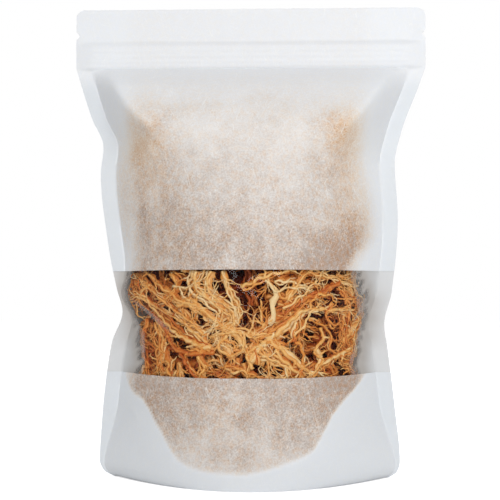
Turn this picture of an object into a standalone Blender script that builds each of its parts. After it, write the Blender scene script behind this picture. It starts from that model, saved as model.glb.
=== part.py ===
"""A filled stand-up pouch of dried sea moss, standing on its opened bottom gusset.

Metres, +Z up, with the windowed front towards -Y and the origin on the floor below the middle.
Every web follows one shape: a flat header, a belly that swells below the zipper, flat side seals,
and a bottom edge that bows out over the floor. The moss is a pile of separate dried clumps.
"""
import math
import random

import bmesh
import bpy
from mathutils import Quaternion, Vector, noise

# Driving dimensions, in metres
POUCH_HEIGHT = 0.272
HEADER_HALF_WIDTH = 0.1015
TOP_CORNER_RADIUS = 0.005
SIDE_SEAL = 0.009
BOTTOM_SIDE_SEAL = 0.002
WINDOW_LOW = 0.061
WINDOW_HIGH = 0.1195
ZIPPER_LOW = 0.2395
ZIPPER_HIGH = 0.2495
ZIPPER_RISE = 0.0017
ZIPPER_FOOT = 0.001
ZIPPER_SLOPE = 0.0035
NOTCH_HEIGHT = 0.257
NOTCH_DEPTH = 0.002
NOTCH_HALF = 0.0025
GUSSET_FOLD = 0.051
GUSSET_SEAL_MIDDLE = 0.011

# Sheet thicknesses, and the clearance between sheets that touch on the real pouch
FILM = 0.0003
PAPER = 0.0003
LAMINATE = 0.0006
CLEARANCE = 0.0003

# Half width of the pouch at each height, left and right as seen from the front
LEFT_EDGE = (
    (0.000, 0.0790), (0.003, 0.0850), (0.009, 0.0878), (0.030, 0.0867), (0.060, 0.0838),
    (0.078, 0.0808), (0.096, 0.0745), (0.110, 0.0780), (0.135, 0.0828), (0.176, 0.0872),
    (0.192, 0.0856), (0.209, 0.0925), (0.2375, HEADER_HALF_WIDTH),
)
RIGHT_EDGE = (
    (0.000, 0.0800), (0.003, 0.0848), (0.009, 0.0868), (0.041, 0.0838), (0.073, 0.0800),
    (0.089, 0.0778), (0.108, 0.0822), (0.150, 0.0856), (0.182, 0.0838), (0.199, 0.0873),
    (0.227, 0.0978), (0.2375, HEADER_HALF_WIDTH),
)

# How far each web stands out from the seam at its middle, at each height
BELLY = (
    (0.000, 0.0460), (0.030, 0.0470), (0.062, 0.0476), (0.095, 0.0480), (0.130, 0.0470),
    (0.160, 0.0445), (0.190, 0.0400), (0.205, 0.0355), (0.2225, 0.0225), (0.2330, 0.0075),
    (0.2375, 0.0000),
)

# Below the zipper the web is flat between two creases: the column of a crease at each height
CREASE_PLACE = ((0.170, 0.55), (0.190, 0.64), (0.210, 0.78), (0.2375, 0.90))
CREASE_ROUNDNESS = 1.3
SHOULDER_LOW = 0.165
SHOULDER_HIGH = 0.205

# Broad dents in the front web: middle (x, z), reach along x and z, and depth
FRONT_DENTS = (
    (-0.066, 0.098, 0.016, 0.010, 0.0045),
    (0.066, 0.090, 0.016, 0.011, 0.0040),
    (-0.074, 0.193, 0.018, 0.006, 0.0035),
    (0.060, 0.176, 0.018, 0.012, 0.0020),
)
BACK_DENTS = (
    (0.064, 0.097, 0.018, 0.011, 0.0045),
    (-0.062, 0.120, 0.020, 0.013, 0.0040),
    (0.020, 0.176, 0.024, 0.014, 0.0020),
)
LUMP_SIZE = 0.030
LUMP_DEPTH = 0.0013
LUMP_SLICE = 7.3

# The gusset: how its seal curves up to the sides, and how its middle and its rims lift off the floor
GUSSET_SEAL_CURVE = 2.4
GUSSET_FLAT_ACROSS = 0.28
GUSSET_LIFT_ACROSS = 2.2
GUSSET_FLAT_DEEP = 0.35
GUSSET_LIFT_DEEP = 2.0

# Rows of each web up the pouch, and columns across it: 1 is the seal's inner line and 2 its edge
LOWER_ROWS = (0.0, 0.003, 0.009, 0.019, 0.032, 0.046, WINDOW_LOW)
WINDOW_ROWS = (WINDOW_LOW, 0.072, 0.084, 0.096, 0.108, WINDOW_HIGH)
UPPER_ROWS = (
    WINDOW_HIGH, 0.134, 0.149, 0.164, 0.179, 0.193, 0.206, 0.218, 0.228, 0.2365,
    ZIPPER_LOW - ZIPPER_FOOT, ZIPPER_HIGH + ZIPPER_FOOT, ZIPPER_HIGH + ZIPPER_SLOPE, POUCH_HEIGHT,
)
INNER_COLUMNS = 12
CREASE_CELLS = 2

# Dried moss: rows of clumps (height of the row, x of each clump), and the strands of one clump
CLUMP_ROWS = (
    (0.030, (-0.030, 0.031)),
    (0.068, (-0.048, -0.004, 0.045)),
    (0.107, (-0.043, 0.005, 0.049)),
    (0.146, (-0.051, -0.005, 0.043)),
    (0.185, (-0.045, 0.004, 0.046)),
)
CLUMP_JITTER = 0.005
FILL_TOP = 0.216
CORE_RADII = Vector((0.010, 0.026, 0.010))
STRANDS = 9
DRAWS = 12
SEED = 1
STRAND_SIDES = 3
STRAND_HALF_WIDTH = 0.0029
STRAND_FLATNESS = 0.55
STRAND_STEPS = 4
STRAND_STEP = 0.0115
FORK_STEPS = 2
FORK_STEP = 0.0095
CORE_MARGIN = 0.0035
CORE_SWELL = 0.22
WALL_CLEARANCE = 0.0007
SHOULDER_CLEARANCE = 0.0035
FLOOR_CLEARANCE = 0.0025

# Limits of the room that the moss has: lowest height, widest column, and a gusset seen a bit wider
FILL_LOW = 0.004
FILL_COLUMN = 0.90
HALF_WIDTH_INSIDE = 0.08
GUSSET_WIDENED = 1.05
GUSSET_RIM_INSET = 0.003
FLOOR_CLEARANCE_AT_RIM = 1.3
SLOPE_STEP = 0.002

# How strands wander: turn at each step, scatter, and the share of a step below which one ends
CURL = (0.2, 0.6)
SCATTER = 0.25
STALLED = 0.45
OUTWARD_LEAST = 0.35
OUTWARD_MORE = 0.6
ROOT_DEPTH = 0.5
SWING = 0.8
FORK_PLACE = 0.6
FORK_VEER = 0.9
STRAND_TAPER = 0.6
FORK_WIDTH = 0.8
FORK_TIP_WIDTH = 0.55
THINNEST_SHARE = 0.82
STRAND_ROLL = 0.4


def smooth_step(low, high, at):
    """0 below low, 1 above high, and an eased rise between them."""
    part = min(max((at - low) / (high - low), 0.0), 1.0)
    return part * part * (3.0 - 2.0 * part)


def follow(points, at):
    """Height of a smooth curve through (place, height) points, with no overshoot between them."""
    if at <= points[0][0]:
        return points[0][1]
    if at >= points[-1][0]:
        return points[-1][1]
    after = next(i for i, point in enumerate(points) if point[0] > at)

    def slope(i):
        return (points[i + 1][1] - points[i][1]) / (points[i + 1][0] - points[i][0])

    def tangent(i):
        if i == 0 or i == len(points) - 1:
            return slope(0 if i == 0 else i - 1)
        before, beyond = slope(i - 1), slope(i)
        return 2.0 * before * beyond / (before + beyond) if before * beyond > 0.0 else 0.0

    start, end = points[after - 1], points[after]
    span = end[0] - start[0]
    part = (at - start[0]) / span
    ease = part * part * (3.0 - 2.0 * part)
    rise = part * (1.0 - part) * ((1.0 - part) * tangent(after - 1) - part * tangent(after)) * span
    return start[1] + (end[1] - start[1]) * ease + rise


def seal_width(height):
    return BOTTOM_SIDE_SEAL + (SIDE_SEAL - BOTTOM_SIDE_SEAL) * smooth_step(0.0, 0.045, height)


def side_place(column, height):
    """x of a column of the pouch: 0 in the middle, 1 at the seal's inner line, 2 at its edge."""
    edge = follow(LEFT_EDGE if column < 0.0 else RIGHT_EDGE, height)
    seal = seal_width(height)
    reach = min(abs(column), 1.0) * (edge - seal) + max(abs(column) - 1.0, 0.0) * seal
    return math.copysign(reach, column)


def column_at(x, height):
    """The column at x, inside the side seals."""
    edge = follow(LEFT_EDGE if x < 0.0 else RIGHT_EDGE, height)
    return x / (edge - seal_width(height))


def lumps(x, height, side):
    """How far the moss and the dents push a web out or in."""
    bump = LUMP_DEPTH * noise.noise(Vector((x / LUMP_SIZE, LUMP_SLICE * side, height / LUMP_SIZE)))
    for middle_x, middle_z, reach_x, reach_z, depth in FRONT_DENTS if side < 0 else BACK_DENTS:
        away = ((x - middle_x) / reach_x) ** 2 + ((height - middle_z) / reach_z) ** 2
        bump -= depth * math.exp(-away)
    return bump


def belly_profile(column, height):
    """1 in the middle of the belly and 0 at the seals: round, and flat between the upper creases."""
    inside = min(abs(column), 1.0)
    roundness = 2.0 + 0.4 * smooth_step(0.0, 0.05, height)
    full = 1.0 - inside ** roundness
    crease = follow(CREASE_PLACE, height)
    flat = 1.0 - max((inside - crease) / (1.0 - crease), 0.0) ** CREASE_ROUNDNESS
    return full + (flat - full) * smooth_step(SHOULDER_LOW, SHOULDER_HIGH, height)


def stand_out(column, height, side):
    """Distance of a web's inner face from the seam's plane."""
    inside = min(abs(column), 1.0)
    belly = follow(BELLY, height) * belly_profile(column, height)
    fade = smooth_step(0.0, 0.025, height) * (1.0 - smooth_step(0.205, 0.235, height))
    belly += lumps(side_place(column, height), height, side) * fade * (1.0 - inside ** 4)
    zipper = smooth_step(ZIPPER_LOW - ZIPPER_FOOT - 0.002, ZIPPER_LOW - ZIPPER_FOOT, height)
    zipper *= 1.0 - smooth_step(ZIPPER_HIGH + ZIPPER_FOOT, ZIPPER_HIGH + ZIPPER_SLOPE, height)
    zipper *= 1.0 - max(abs(column) - 1.0, 0.0)
    return CLEARANCE / 2.0 + belly + ZIPPER_RISE * zipper


def web_point(column, height, side, offset=0.0):
    """A point of the front (side -1) or back (side 1) web, offset along its outward normal."""
    def surface(c, h):
        return Vector((side_place(c, h), side * stand_out(c, h, side), h))

    here = surface(column, height)
    if offset == 0.0:
        return here
    nudge, rise = 0.01, 0.0005
    low, high = max(height - rise, 0.0), min(height + rise, POUCH_HEIGHT)
    across = surface(min(column + nudge, 2.0), height) - surface(max(column - nudge, -2.0), height)
    normal = across.cross(surface(column, high) - surface(column, low)).normalized()
    point = here + normal * (offset if normal.y * side > 0.0 else -offset)
    point.z = min(max(point.z, 0.0), POUCH_HEIGHT)
    return point


def material(name, colour, roughness, alpha=1.0):
    made = bpy.data.materials.new(name)
    made.use_nodes = True
    surface = made.node_tree.nodes["Principled BSDF"]
    surface.inputs["Base Color"].default_value = (*colour, 1.0)
    surface.inputs["Roughness"].default_value = roughness
    surface.inputs["Alpha"].default_value = alpha
    made.diffuse_color = (*colour, alpha)
    return made


def placed(name, mesh, finish):
    """Puts a finished mesh into the scene as a named object."""
    mesh.materials.append(finish)
    made = bpy.data.objects.new(name, mesh)
    bpy.context.collection.objects.link(made)
    return made


def sheet(name, outer, inner, finish):
    """A closed sheet between two grids of points that match row by row."""
    shape = bmesh.new()
    sides = [[[shape.verts.new(point) for point in row] for row in grid] for grid in (outer, inner)]
    rows, columns = len(outer), len(outer[0])
    for grid in sides:
        for i in range(rows - 1):
            for j in range(columns - 1):
                shape.faces.new((grid[i][j], grid[i][j + 1], grid[i + 1][j + 1], grid[i + 1][j]))
    rim = [(0, j) for j in range(columns - 1)] + [(i, columns - 1) for i in range(rows - 1)]
    rim += [(rows - 1, j) for j in range(columns - 1, 0, -1)] + [(i, 0) for i in range(rows - 1, 0, -1)]
    for (i, j), (k, m) in zip(rim, rim[1:] + rim[:1]):
        shape.faces.new((sides[0][i][j], sides[0][k][m], sides[1][k][m], sides[1][i][j]))
    bmesh.ops.recalc_face_normals(shape, faces=shape.faces)
    mesh = bpy.data.meshes.new(name)
    shape.to_mesh(mesh)
    shape.free()
    mesh.shade_smooth()
    mesh.set_sharp_from_angle(angle=math.radians(50.0))
    return placed(name, mesh, finish)


def inner_columns():
    return [2.0 * j / INNER_COLUMNS - 1.0 for j in range(INNER_COLUMNS + 1)]


def columns_at(height):
    """Columns of a web at this height: even low down, and one a side follows the crease higher up."""
    straight = INNER_COLUMNS // 2 - CREASE_CELLS
    even = 2.0 * straight / INNER_COLUMNS
    blend = smooth_step(WINDOW_HIGH, SHOULDER_LOW, height)
    crease = even + (follow(CREASE_PLACE, height) - even) * blend
    half = [crease * j / straight for j in range(1, straight)]
    half += [crease + (1.0 - crease) * j / CREASE_CELLS for j in range(CREASE_CELLS + 1)]
    return [-2.0] + [-column for column in half[::-1]] + [0.0] + half + [2.0]


def web(name, rows, side, start, thickness, finish):
    """A sheet of the front or back web between offsets start and start + thickness."""
    grids = []
    for offset in (start + thickness, start):
        grids.append([[web_point(c, z, side, offset) for c in columns_at(z)] for z in rows])
    return sheet(name, grids[0], grids[1], finish)


def prism(name, outline, reach):
    """A cutter with this outline in X and Z, running from -reach to reach along Y."""
    shape = bmesh.new()
    face = shape.faces.new([shape.verts.new((x, -reach, z)) for x, z in outline])
    grown = bmesh.ops.extrude_face_region(shape, geom=[face])
    moved = [item for item in grown["geom"] if isinstance(item, bmesh.types.BMVert)]
    bmesh.ops.translate(shape, verts=moved, vec=(0.0, 2.0 * reach, 0.0))
    bmesh.ops.recalc_face_normals(shape, faces=shape.faces)
    mesh = bpy.data.meshes.new(name)
    shape.to_mesh(mesh)
    shape.free()
    cutter = bpy.data.objects.new(name, mesh)
    bpy.context.collection.objects.link(cutter)
    cutter.hide_render = True
    cutter.display_type = 'WIRE'
    return cutter


def header_cutters():
    """The rounded top corners and the two tear notches, as cutters."""
    cutters = []
    middle_x = HEADER_HALF_WIDTH - TOP_CORNER_RADIUS
    middle_z = POUCH_HEIGHT - TOP_CORNER_RADIUS
    beyond, deep, arc_steps = 0.003, 0.01, 5
    for side, word in ((-1, "left"), (1, "right")):
        turns = [math.pi / 2.0 * step / arc_steps for step in range(arc_steps + 1)]
        arc = [(side * (middle_x + TOP_CORNER_RADIUS * math.cos(turn)),
                middle_z + TOP_CORNER_RADIUS * math.sin(turn)) for turn in turns]
        edge, top = side * (HEADER_HALF_WIDTH + beyond), POUCH_HEIGHT + beyond
        arc += [(side * middle_x, top), (edge, top), (edge, middle_z)]
        cutters.append(prism("corner_cutter_" + word, arc, deep))
        tip = side * (HEADER_HALF_WIDTH - NOTCH_DEPTH)
        wedge = [(tip, NOTCH_HEIGHT), (edge, NOTCH_HEIGHT - NOTCH_HALF), (edge, NOTCH_HEIGHT + NOTCH_HALF)]
        cutters.append(prism("notch_cutter_" + word, wedge, deep))
    return cutters


def cut(target, cutters):
    for cutter in cutters:
        boolean = target.modifiers.new(cutter.name, 'BOOLEAN')
        boolean.operation = 'DIFFERENCE'
        boolean.solver = 'EXACT'
        boolean.object = cutter


def gusset_sag(column):
    """Height of the gusset's middle above the floor: flat in the centre, folded up at the seams."""
    return GUSSET_FOLD * smooth_rise(column, GUSSET_FLAT_ACROSS, GUSSET_LIFT_ACROSS)


def gusset_seal(column):
    """Height up to which the gusset is sealed to the front and back webs."""
    return GUSSET_SEAL_MIDDLE + (GUSSET_FOLD - GUSSET_SEAL_MIDDLE) * abs(column) ** GUSSET_SEAL_CURVE


def smooth_rise(column, start, power):
    return max((abs(column) - start) / (1.0 - start), 0.0) ** power


def gusset_free(column, across):
    """Upper face of the unsealed gusset: across is -1 at the front seal and 1 at the back."""
    middle, rim = gusset_sag(column), gusset_seal(column)
    return FILM + middle + (rim - middle) * smooth_rise(across, GUSSET_FLAT_DEEP, GUSSET_LIFT_DEEP)


def seal_point(column, height, side):
    """A point just inside a web; the outermost columns stop short of the side seals."""
    least, more_at_sides, short_of_seal = 1.25, 1.4, 0.84
    inset = -CLEARANCE * (least + more_at_sides * abs(column) ** 6)
    if abs(column) < 1.0:
        return web_point(column, height, side, inset)
    before = math.copysign(1.0 - 2.0 / INNER_COLUMNS, column)
    last = web_point(before, height, side, inset)
    return last.lerp(web_point(column, height, side, inset), short_of_seal)


def gusset_web(finish):
    """The bottom sheet: sealed skirts at the front and back, and the floor that hangs between them.

    The face that is sealed to the front web is the one that the contents rest on.
    """
    free_steps = 8
    upper = []
    for column in inner_columns():
        rim = gusset_seal(column)
        skirt = LOWER_ROWS[:3] + ((LOWER_ROWS[2] + rim) / 2.0, rim)
        front = [seal_point(column, z, -1) for z in skirt]
        back = [seal_point(column, z, 1) for z in skirt]
        line = []
        for step in range(1, free_steps):
            across = 2.0 * step / free_steps - 1.0
            point = front[-1].lerp(back[-1], step / free_steps)
            point.z = gusset_free(column, across)
            line.append(point)
        upper.append(front + line + back[::-1])
    lower = []
    for j, line in enumerate(upper):
        row = []
        for i, point in enumerate(line):
            along = line[min(i + 1, len(line) - 1)] - line[max(i - 1, 0)]
            beside = upper[min(j + 1, len(upper) - 1)][i] - upper[max(j - 1, 0)][i]
            under = point + along.cross(beside).normalized() * FILM
            under.z = max(under.z, 0.0)
            row.append(under)
        lower.append(row)
    return sheet("bottom_gusset_web", upper, lower, finish)


def extruded_strip(name, outline, half_length, finish):
    """A strip of constant section: the outline is in Y and Z, the strip runs along X."""
    shape = bmesh.new()
    face = shape.faces.new([shape.verts.new((-half_length, y, z)) for y, z in outline])
    grown = bmesh.ops.extrude_face_region(shape, geom=[face])
    moved = [item for item in grown["geom"] if isinstance(item, bmesh.types.BMVert)]
    bmesh.ops.translate(shape, verts=moved, vec=(2.0 * half_length, 0.0, 0.0))
    bmesh.ops.recalc_face_normals(shape, faces=shape.faces)
    mesh = bpy.data.meshes.new(name)
    shape.to_mesh(mesh)
    shape.free()
    return placed(name, mesh, finish)


def zipper_strips(finish):
    """The press-to-close zipper: a strip with two lips, and a strip whose rib stands between them."""
    middle = (ZIPPER_LOW + ZIPPER_HIGH) / 2.0
    margin, side_margin = 0.0005, 0.0015
    low, high = ZIPPER_LOW + margin, ZIPPER_HIGH - margin
    face, back, lip = 0.0014, 0.0009, 0.0004
    inner, outer = 0.0009, 0.0015
    groove = [(-face, low), (-back, low), (-back, middle - outer), (lip, middle - outer),
              (lip, middle - inner), (-back, middle - inner), (-back, middle + inner),
              (lip, middle + inner), (lip, middle + outer), (-back, middle + outer),
              (-back, high), (-face, high)]
    rib_half, head_half, neck, tip = 0.0003, 0.0005, 0.0001, -0.0005
    rib = [(face, low), (face, high), (back, high), (back, middle + rib_half),
           (neck, middle + rib_half), (neck, middle + head_half), (tip, middle + rib_half),
           (tip, middle - rib_half), (neck, middle - head_half), (neck, middle - rib_half),
           (back, middle - rib_half), (back, low)]
    half_length = HEADER_HALF_WIDTH - SIDE_SEAL - side_margin
    extruded_strip("zipper_groove_strip", groove, half_length, finish)
    extruded_strip("zipper_rib_strip", rib, half_length, finish)


def clump_centres(draw):
    """The middle of every clump, staggered in rows and shifted a little at random."""
    centres = []
    for height, places in CLUMP_ROWS:
        for x in places:
            shift = [draw.uniform(-CLUMP_JITTER, CLUMP_JITTER) for _ in range(3)]
            centres.append(Vector((x + shift[0], shift[1], height + shift[2])))
    return centres


def kept_in_pouch(point, margin):
    """The nearest place inside the webs and above the gusset, with this margin to each."""
    x, y, z = point
    z = min(max(z, FILL_LOW + margin), FILL_TOP - margin)
    column = column_at(x, z)
    limit = FILL_COLUMN - margin / HALF_WIDTH_INSIDE
    if abs(column) > limit:
        column = math.copysign(limit, column)
        x = side_place(column, z)
    side = -1 if y < 0.0 else 1
    depth = stand_out(column, z, side)
    slope_x = (stand_out(column_at(x + SLOPE_STEP, z), z, side) - depth) / SLOPE_STEP
    above = z + SLOPE_STEP
    slope_z = (stand_out(column_at(x, above), above, side) - depth) / SLOPE_STEP
    wall = WALL_CLEARANCE + SHOULDER_CLEARANCE * smooth_step(SHOULDER_LOW, SHOULDER_HIGH, z)
    room = depth - (margin + wall) * math.sqrt(1.0 + slope_x ** 2 + slope_z ** 2)
    y = min(max(y, -room), room)
    rim = GUSSET_WIDENED * column_at(x, GUSSET_SEAL_MIDDLE)
    half_depth = max(stand_out(rim, GUSSET_SEAL_MIDDLE, side) - GUSSET_RIM_INSET, 0.001)
    across = min(abs(y) / half_depth, 1.0)
    rise = (margin + FLOOR_CLEARANCE) * (1.0 + FLOOR_CLEARANCE_AT_RIM * abs(rim))
    return Vector((x, y, max(z, gusset_free(rim, across) + rise)))


def kept_in_cell(point, index, centres, margin):
    """Moves a point back to its own clump's side of the planes halfway to the other clumps."""
    own = centres[index]
    for other in centres:
        gap = other - own
        gap.y = 0.0
        if gap.length < 0.001:
            continue
        normal = gap.normalized()
        past = (point - own).dot(normal) - gap.length / 2.0 + margin
        if past > 0.0:
            point = point - normal * past
    return point


def settled(point, index, centres, margin):
    """The point after a few rounds of keeping it in its cell and in the pouch."""
    rounds = 5
    for _ in range(rounds):
        point = kept_in_cell(point, index, centres, margin + CLEARANCE)
        point = kept_in_pouch(point, margin)
    return point


def random_direction(draw):
    turn, lift = draw.uniform(0.0, 2.0 * math.pi), draw.uniform(-1.0, 1.0)
    flat = math.sqrt(1.0 - lift * lift)
    return Vector((flat * math.cos(turn), lift, flat * math.sin(turn)))


def wander(draw, start, heading, steps, step, keep):
    """A curling path whose points keep() holds in the clump's own room."""
    path = [start]
    curl = Quaternion(random_direction(draw), draw.uniform(*CURL))
    for _ in range(steps):
        heading = curl @ (heading + random_direction(draw) * SCATTER).normalized()
        point = keep(path[-1] + heading * step)
        moved = point - path[-1]
        if moved.length < STALLED * step or (len(path) > 1 and moved.dot(path[-1] - path[-2]) < 0.0):
            break
        heading = moved.normalized()
        path.append(point)
    return path


def tube(path, thick, thin, roll):
    """A closed flattened strand along a path, tapering from thick to thin."""
    shape = bmesh.new()
    rings = []
    up = Vector((0.3, 0.9, 0.2))
    for i, point in enumerate(path):
        along = (path[min(i + 1, len(path) - 1)] - path[max(i - 1, 0)]).normalized()
        beside = along.cross(up).normalized()
        up = beside.cross(along).normalized()
        radius = thick + (thin - thick) * i / (len(path) - 1)
        turns = [roll + 2.0 * math.pi * k / STRAND_SIDES for k in range(STRAND_SIDES)]
        ring = [beside * math.cos(t) + up * (math.sin(t) * STRAND_FLATNESS) for t in turns]
        rings.append([shape.verts.new(point + place * radius) for place in ring])
    for low, high in zip(rings, rings[1:]):
        for k in range(STRAND_SIDES):
            after = (k + 1) % STRAND_SIDES
            shape.faces.new((low[k], low[after], high[after], high[k]))
    shape.faces.new(rings[0][::-1])
    shape.faces.new(rings[-1])
    bmesh.ops.recalc_face_normals(shape, faces=shape.faces)
    mesh = bpy.data.meshes.new("strand")
    shape.to_mesh(mesh)
    shape.free()
    return bpy.data.objects.new("strand", mesh)


def clump_core(name, index, centres, finish):
    """The dense inside of a clump: a lumpy ball, smaller than the strands that stand out of it."""
    shape = bmesh.new()
    bmesh.ops.create_icosphere(shape, subdivisions=1, radius=1.0)
    for corner in shape.verts:
        swell = 1.0 + CORE_SWELL * noise.noise(corner.co * 1.7 + Vector((3.1 * index, 0.0, 0.0)))
        reach = Vector([part * size * swell for part, size in zip(corner.co, CORE_RADII)])
        corner.co = settled(centres[index] + reach, index, centres, CORE_MARGIN)
    mesh = bpy.data.meshes.new(name)
    shape.to_mesh(mesh)
    shape.free()
    return placed(name, mesh, finish)


def keep_outer_skin(mesh):
    """Fills the hollows and drops the scraps that joining can leave: only the largest skin stays."""
    shape = bmesh.new()
    shape.from_mesh(mesh)
    left = set(shape.faces)
    skins = []
    while left:
        skin = []
        edge = [left.pop()]
        while edge:
            face = edge.pop()
            skin.append(face)
            near = {other for side in face.edges for other in side.link_faces} & left
            left -= near
            edge.extend(near)
        skins.append(skin)
    largest = max(skins, key=len)
    extra = [face for skin in skins if skin is not largest for face in skin]
    bmesh.ops.delete(shape, geom=extra, context='FACES')
    shape.to_mesh(mesh)
    shape.free()


def rooted_path(draw, centre, side, keep):
    """The path of a strand that starts in the core and leaves towards the front or the back."""
    path = []
    for _ in range(DRAWS):
        out = random_direction(draw)
        out.y = side * (OUTWARD_LEAST + OUTWARD_MORE * abs(out.y))
        out.normalize()
        root = centre + Vector([part * size * ROOT_DEPTH for part, size in zip(out, CORE_RADII)])
        swing = (out + random_direction(draw) * SWING).normalized()
        path = wander(draw, root, swing, STRAND_STEPS, STRAND_STEP, keep)
        if len(path) >= STRAND_STEPS:
            break
    return path


def clump(name, index, centres, draw, finish):
    """One dried clump: forked strands whose roots are sunk in its core, all joined into one body."""
    core = clump_core(name, index, centres, finish)
    strands = bpy.data.collections.new(name + "_strands")

    def keep(point):
        return settled(point, index, centres, STRAND_HALF_WIDTH)

    for number in range(STRANDS):
        path = rooted_path(draw, centres[index], -1.0 if number % 2 else 1.0, keep)
        half = STRAND_HALF_WIDTH * draw.uniform(THINNEST_SHARE, 1.0)
        roll = draw.uniform(-STRAND_ROLL, STRAND_ROLL)
        strands.objects.link(tube(path, half, half * STRAND_TAPER, roll))
        fork = path[-3].lerp(path[-2], FORK_PLACE)
        veer = ((path[-1] - fork).normalized() + random_direction(draw) * FORK_VEER).normalized()
        branch = wander(draw, fork, veer, FORK_STEPS, FORK_STEP, keep)
        if len(branch) > 1:
            roll = draw.uniform(-STRAND_ROLL, STRAND_ROLL)
            strands.objects.link(tube(branch, half * FORK_WIDTH, half * FORK_TIP_WIDTH, roll))
    # MANIFOLD, because EXACT leaves open edges where several strands leave the core side by side
    join = core.modifiers.new("join", 'BOOLEAN')
    join.operation = 'UNION'
    join.operand_type = 'COLLECTION'
    join.collection = strands
    join.solver = 'MANIFOLD'
    bpy.context.view_layer.objects.active = core
    bpy.ops.object.modifier_apply(modifier="join")
    for strand in list(strands.objects):
        bpy.data.objects.remove(strand)
    bpy.data.collections.remove(strands)
    keep_outer_skin(core.data)


def main():
    for item in list(bpy.data.objects):
        bpy.data.objects.remove(item, do_unlink=True)
    film = material("clear_film", (0.86, 0.88, 0.90), 0.12, alpha=0.25)
    paper = material("rice_paper", (0.82, 0.80, 0.77), 0.55)
    back = material("back_laminate", (0.82, 0.80, 0.77), 0.55)
    plastic = material("zipper_plastic", (0.85, 0.87, 0.90), 0.35)
    moss = material("dried_moss", (0.60, 0.33, 0.10), 0.65)

    front_rows = LOWER_ROWS + WINDOW_ROWS[1:] + UPPER_ROWS[1:]
    paper_start = FILM + CLEARANCE
    front = web("front_film_web", front_rows, -1, 0.0, FILM, film)
    upper = web("front_paper_panel_upper", UPPER_ROWS, -1, paper_start, PAPER, paper)
    web("front_paper_panel_lower", LOWER_ROWS, -1, paper_start, PAPER, paper)
    rear = web("back_web", front_rows, 1, 0.0, LAMINATE, back)
    gusset_web(back)
    zipper_strips(plastic)

    draw = random.Random(SEED)
    centres = clump_centres(draw)
    for index in range(len(centres)):
        clump("moss_clump_%02d" % (index + 1), index, centres, draw, moss)

    cutters = header_cutters()
    for target in (front, upper, rear):
        cut(target, cutters)


main()
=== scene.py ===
# %% [markdown]
# A stand-up pouch of dried sea moss. The front is a clear film that carries two panels of fibrous
# rice paper, with a clear window between them. The pouch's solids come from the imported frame, and
# this script makes the sheets and the moss fine enough for a close look.

# %% Load the frame
import functools
import math
import random

import bpy
import numpy as np
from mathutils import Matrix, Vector, kdtree, noise


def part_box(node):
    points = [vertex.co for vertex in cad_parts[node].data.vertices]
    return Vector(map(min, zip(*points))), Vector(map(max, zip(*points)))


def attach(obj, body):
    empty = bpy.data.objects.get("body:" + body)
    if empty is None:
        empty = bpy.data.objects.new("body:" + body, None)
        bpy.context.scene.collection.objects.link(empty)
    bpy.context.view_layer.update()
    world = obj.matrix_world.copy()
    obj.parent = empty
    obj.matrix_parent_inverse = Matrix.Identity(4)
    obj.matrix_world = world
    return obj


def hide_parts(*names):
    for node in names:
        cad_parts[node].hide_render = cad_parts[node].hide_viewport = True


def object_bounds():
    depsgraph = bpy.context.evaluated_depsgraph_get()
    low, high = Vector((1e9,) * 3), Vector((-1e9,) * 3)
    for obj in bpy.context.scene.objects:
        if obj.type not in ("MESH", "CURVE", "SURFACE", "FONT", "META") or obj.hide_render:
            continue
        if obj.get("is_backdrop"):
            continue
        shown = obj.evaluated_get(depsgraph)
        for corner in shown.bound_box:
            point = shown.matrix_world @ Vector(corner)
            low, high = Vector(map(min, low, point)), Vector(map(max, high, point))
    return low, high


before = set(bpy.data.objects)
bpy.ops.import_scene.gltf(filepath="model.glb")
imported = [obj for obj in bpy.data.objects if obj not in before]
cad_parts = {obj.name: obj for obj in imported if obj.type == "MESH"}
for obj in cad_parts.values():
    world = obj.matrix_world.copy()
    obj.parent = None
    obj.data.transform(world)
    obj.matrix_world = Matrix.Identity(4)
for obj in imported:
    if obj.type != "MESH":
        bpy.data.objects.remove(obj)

cad_low, cad_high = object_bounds()
print("CAD box in mm:", [round(1000.0 * (b - a), 1) for a, b in zip(cad_low, cad_high)])

# %% [markdown]
# Lengths are easier to read in millimetres, and Blender counts in metres, so small real sizes are
# written as a number times MM.

# %% Units and selection
MM = 0.001


def deselect_all():
    if bpy.context.object and bpy.context.object.mode != 'OBJECT':
        bpy.ops.object.mode_set(mode='OBJECT')
    bpy.ops.object.select_all(action='DESELECT')


def make_active(piece):
    deselect_all()
    piece.select_set(True)
    bpy.context.view_layer.objects.active = piece


# %% [markdown]
# The camera stands 0.60 m in front of the pouch at 108 mm above the floor, and looks level. The
# angle of view is about 27 degrees. The pouch is turned 2 degrees, so the camera goes 2 degrees
# round it. A level camera with a small upward shift keeps the pouch's upright lines upright, as
# the photograph does.

# %% Camera
CAMERA_DISTANCE = 0.600
CAMERA_HEIGHT = 0.108
CAMERA_TURN = math.radians(2.0)
FOCAL_PIXELS = 1031.0
FRAME_PIXELS = 500.0
HORIZON_BELOW_MIDDLE = 41.0
SENSOR_WIDTH = 36.0

camera_place = (CAMERA_DISTANCE * math.sin(CAMERA_TURN), -CAMERA_DISTANCE * math.cos(CAMERA_TURN),
                CAMERA_HEIGHT)
bpy.ops.object.camera_add(location=camera_place, rotation=(math.radians(90.0), 0.0, CAMERA_TURN))
camera = bpy.context.object
camera.data.sensor_width = SENSOR_WIDTH
camera.data.lens = SENSOR_WIDTH * FOCAL_PIXELS / FRAME_PIXELS
camera.data.shift_y = HORIZON_BELOW_MIDDLE / FRAME_PIXELS
bpy.context.scene.camera = camera
print("lens in mm:", round(camera.data.lens, 1))

# %% [markdown]
# Colours are written as the eye sees them on a screen (sRGB hex), and Blender's shaders want
# linear light, so one function turns one into the other. Another small function adds a node with
# its settings and its links, so a material reads as a list of what it is made of. The few that
# follow shorten what every material here needs: sums, mixes, ramps and the facts a mesh stores.

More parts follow.
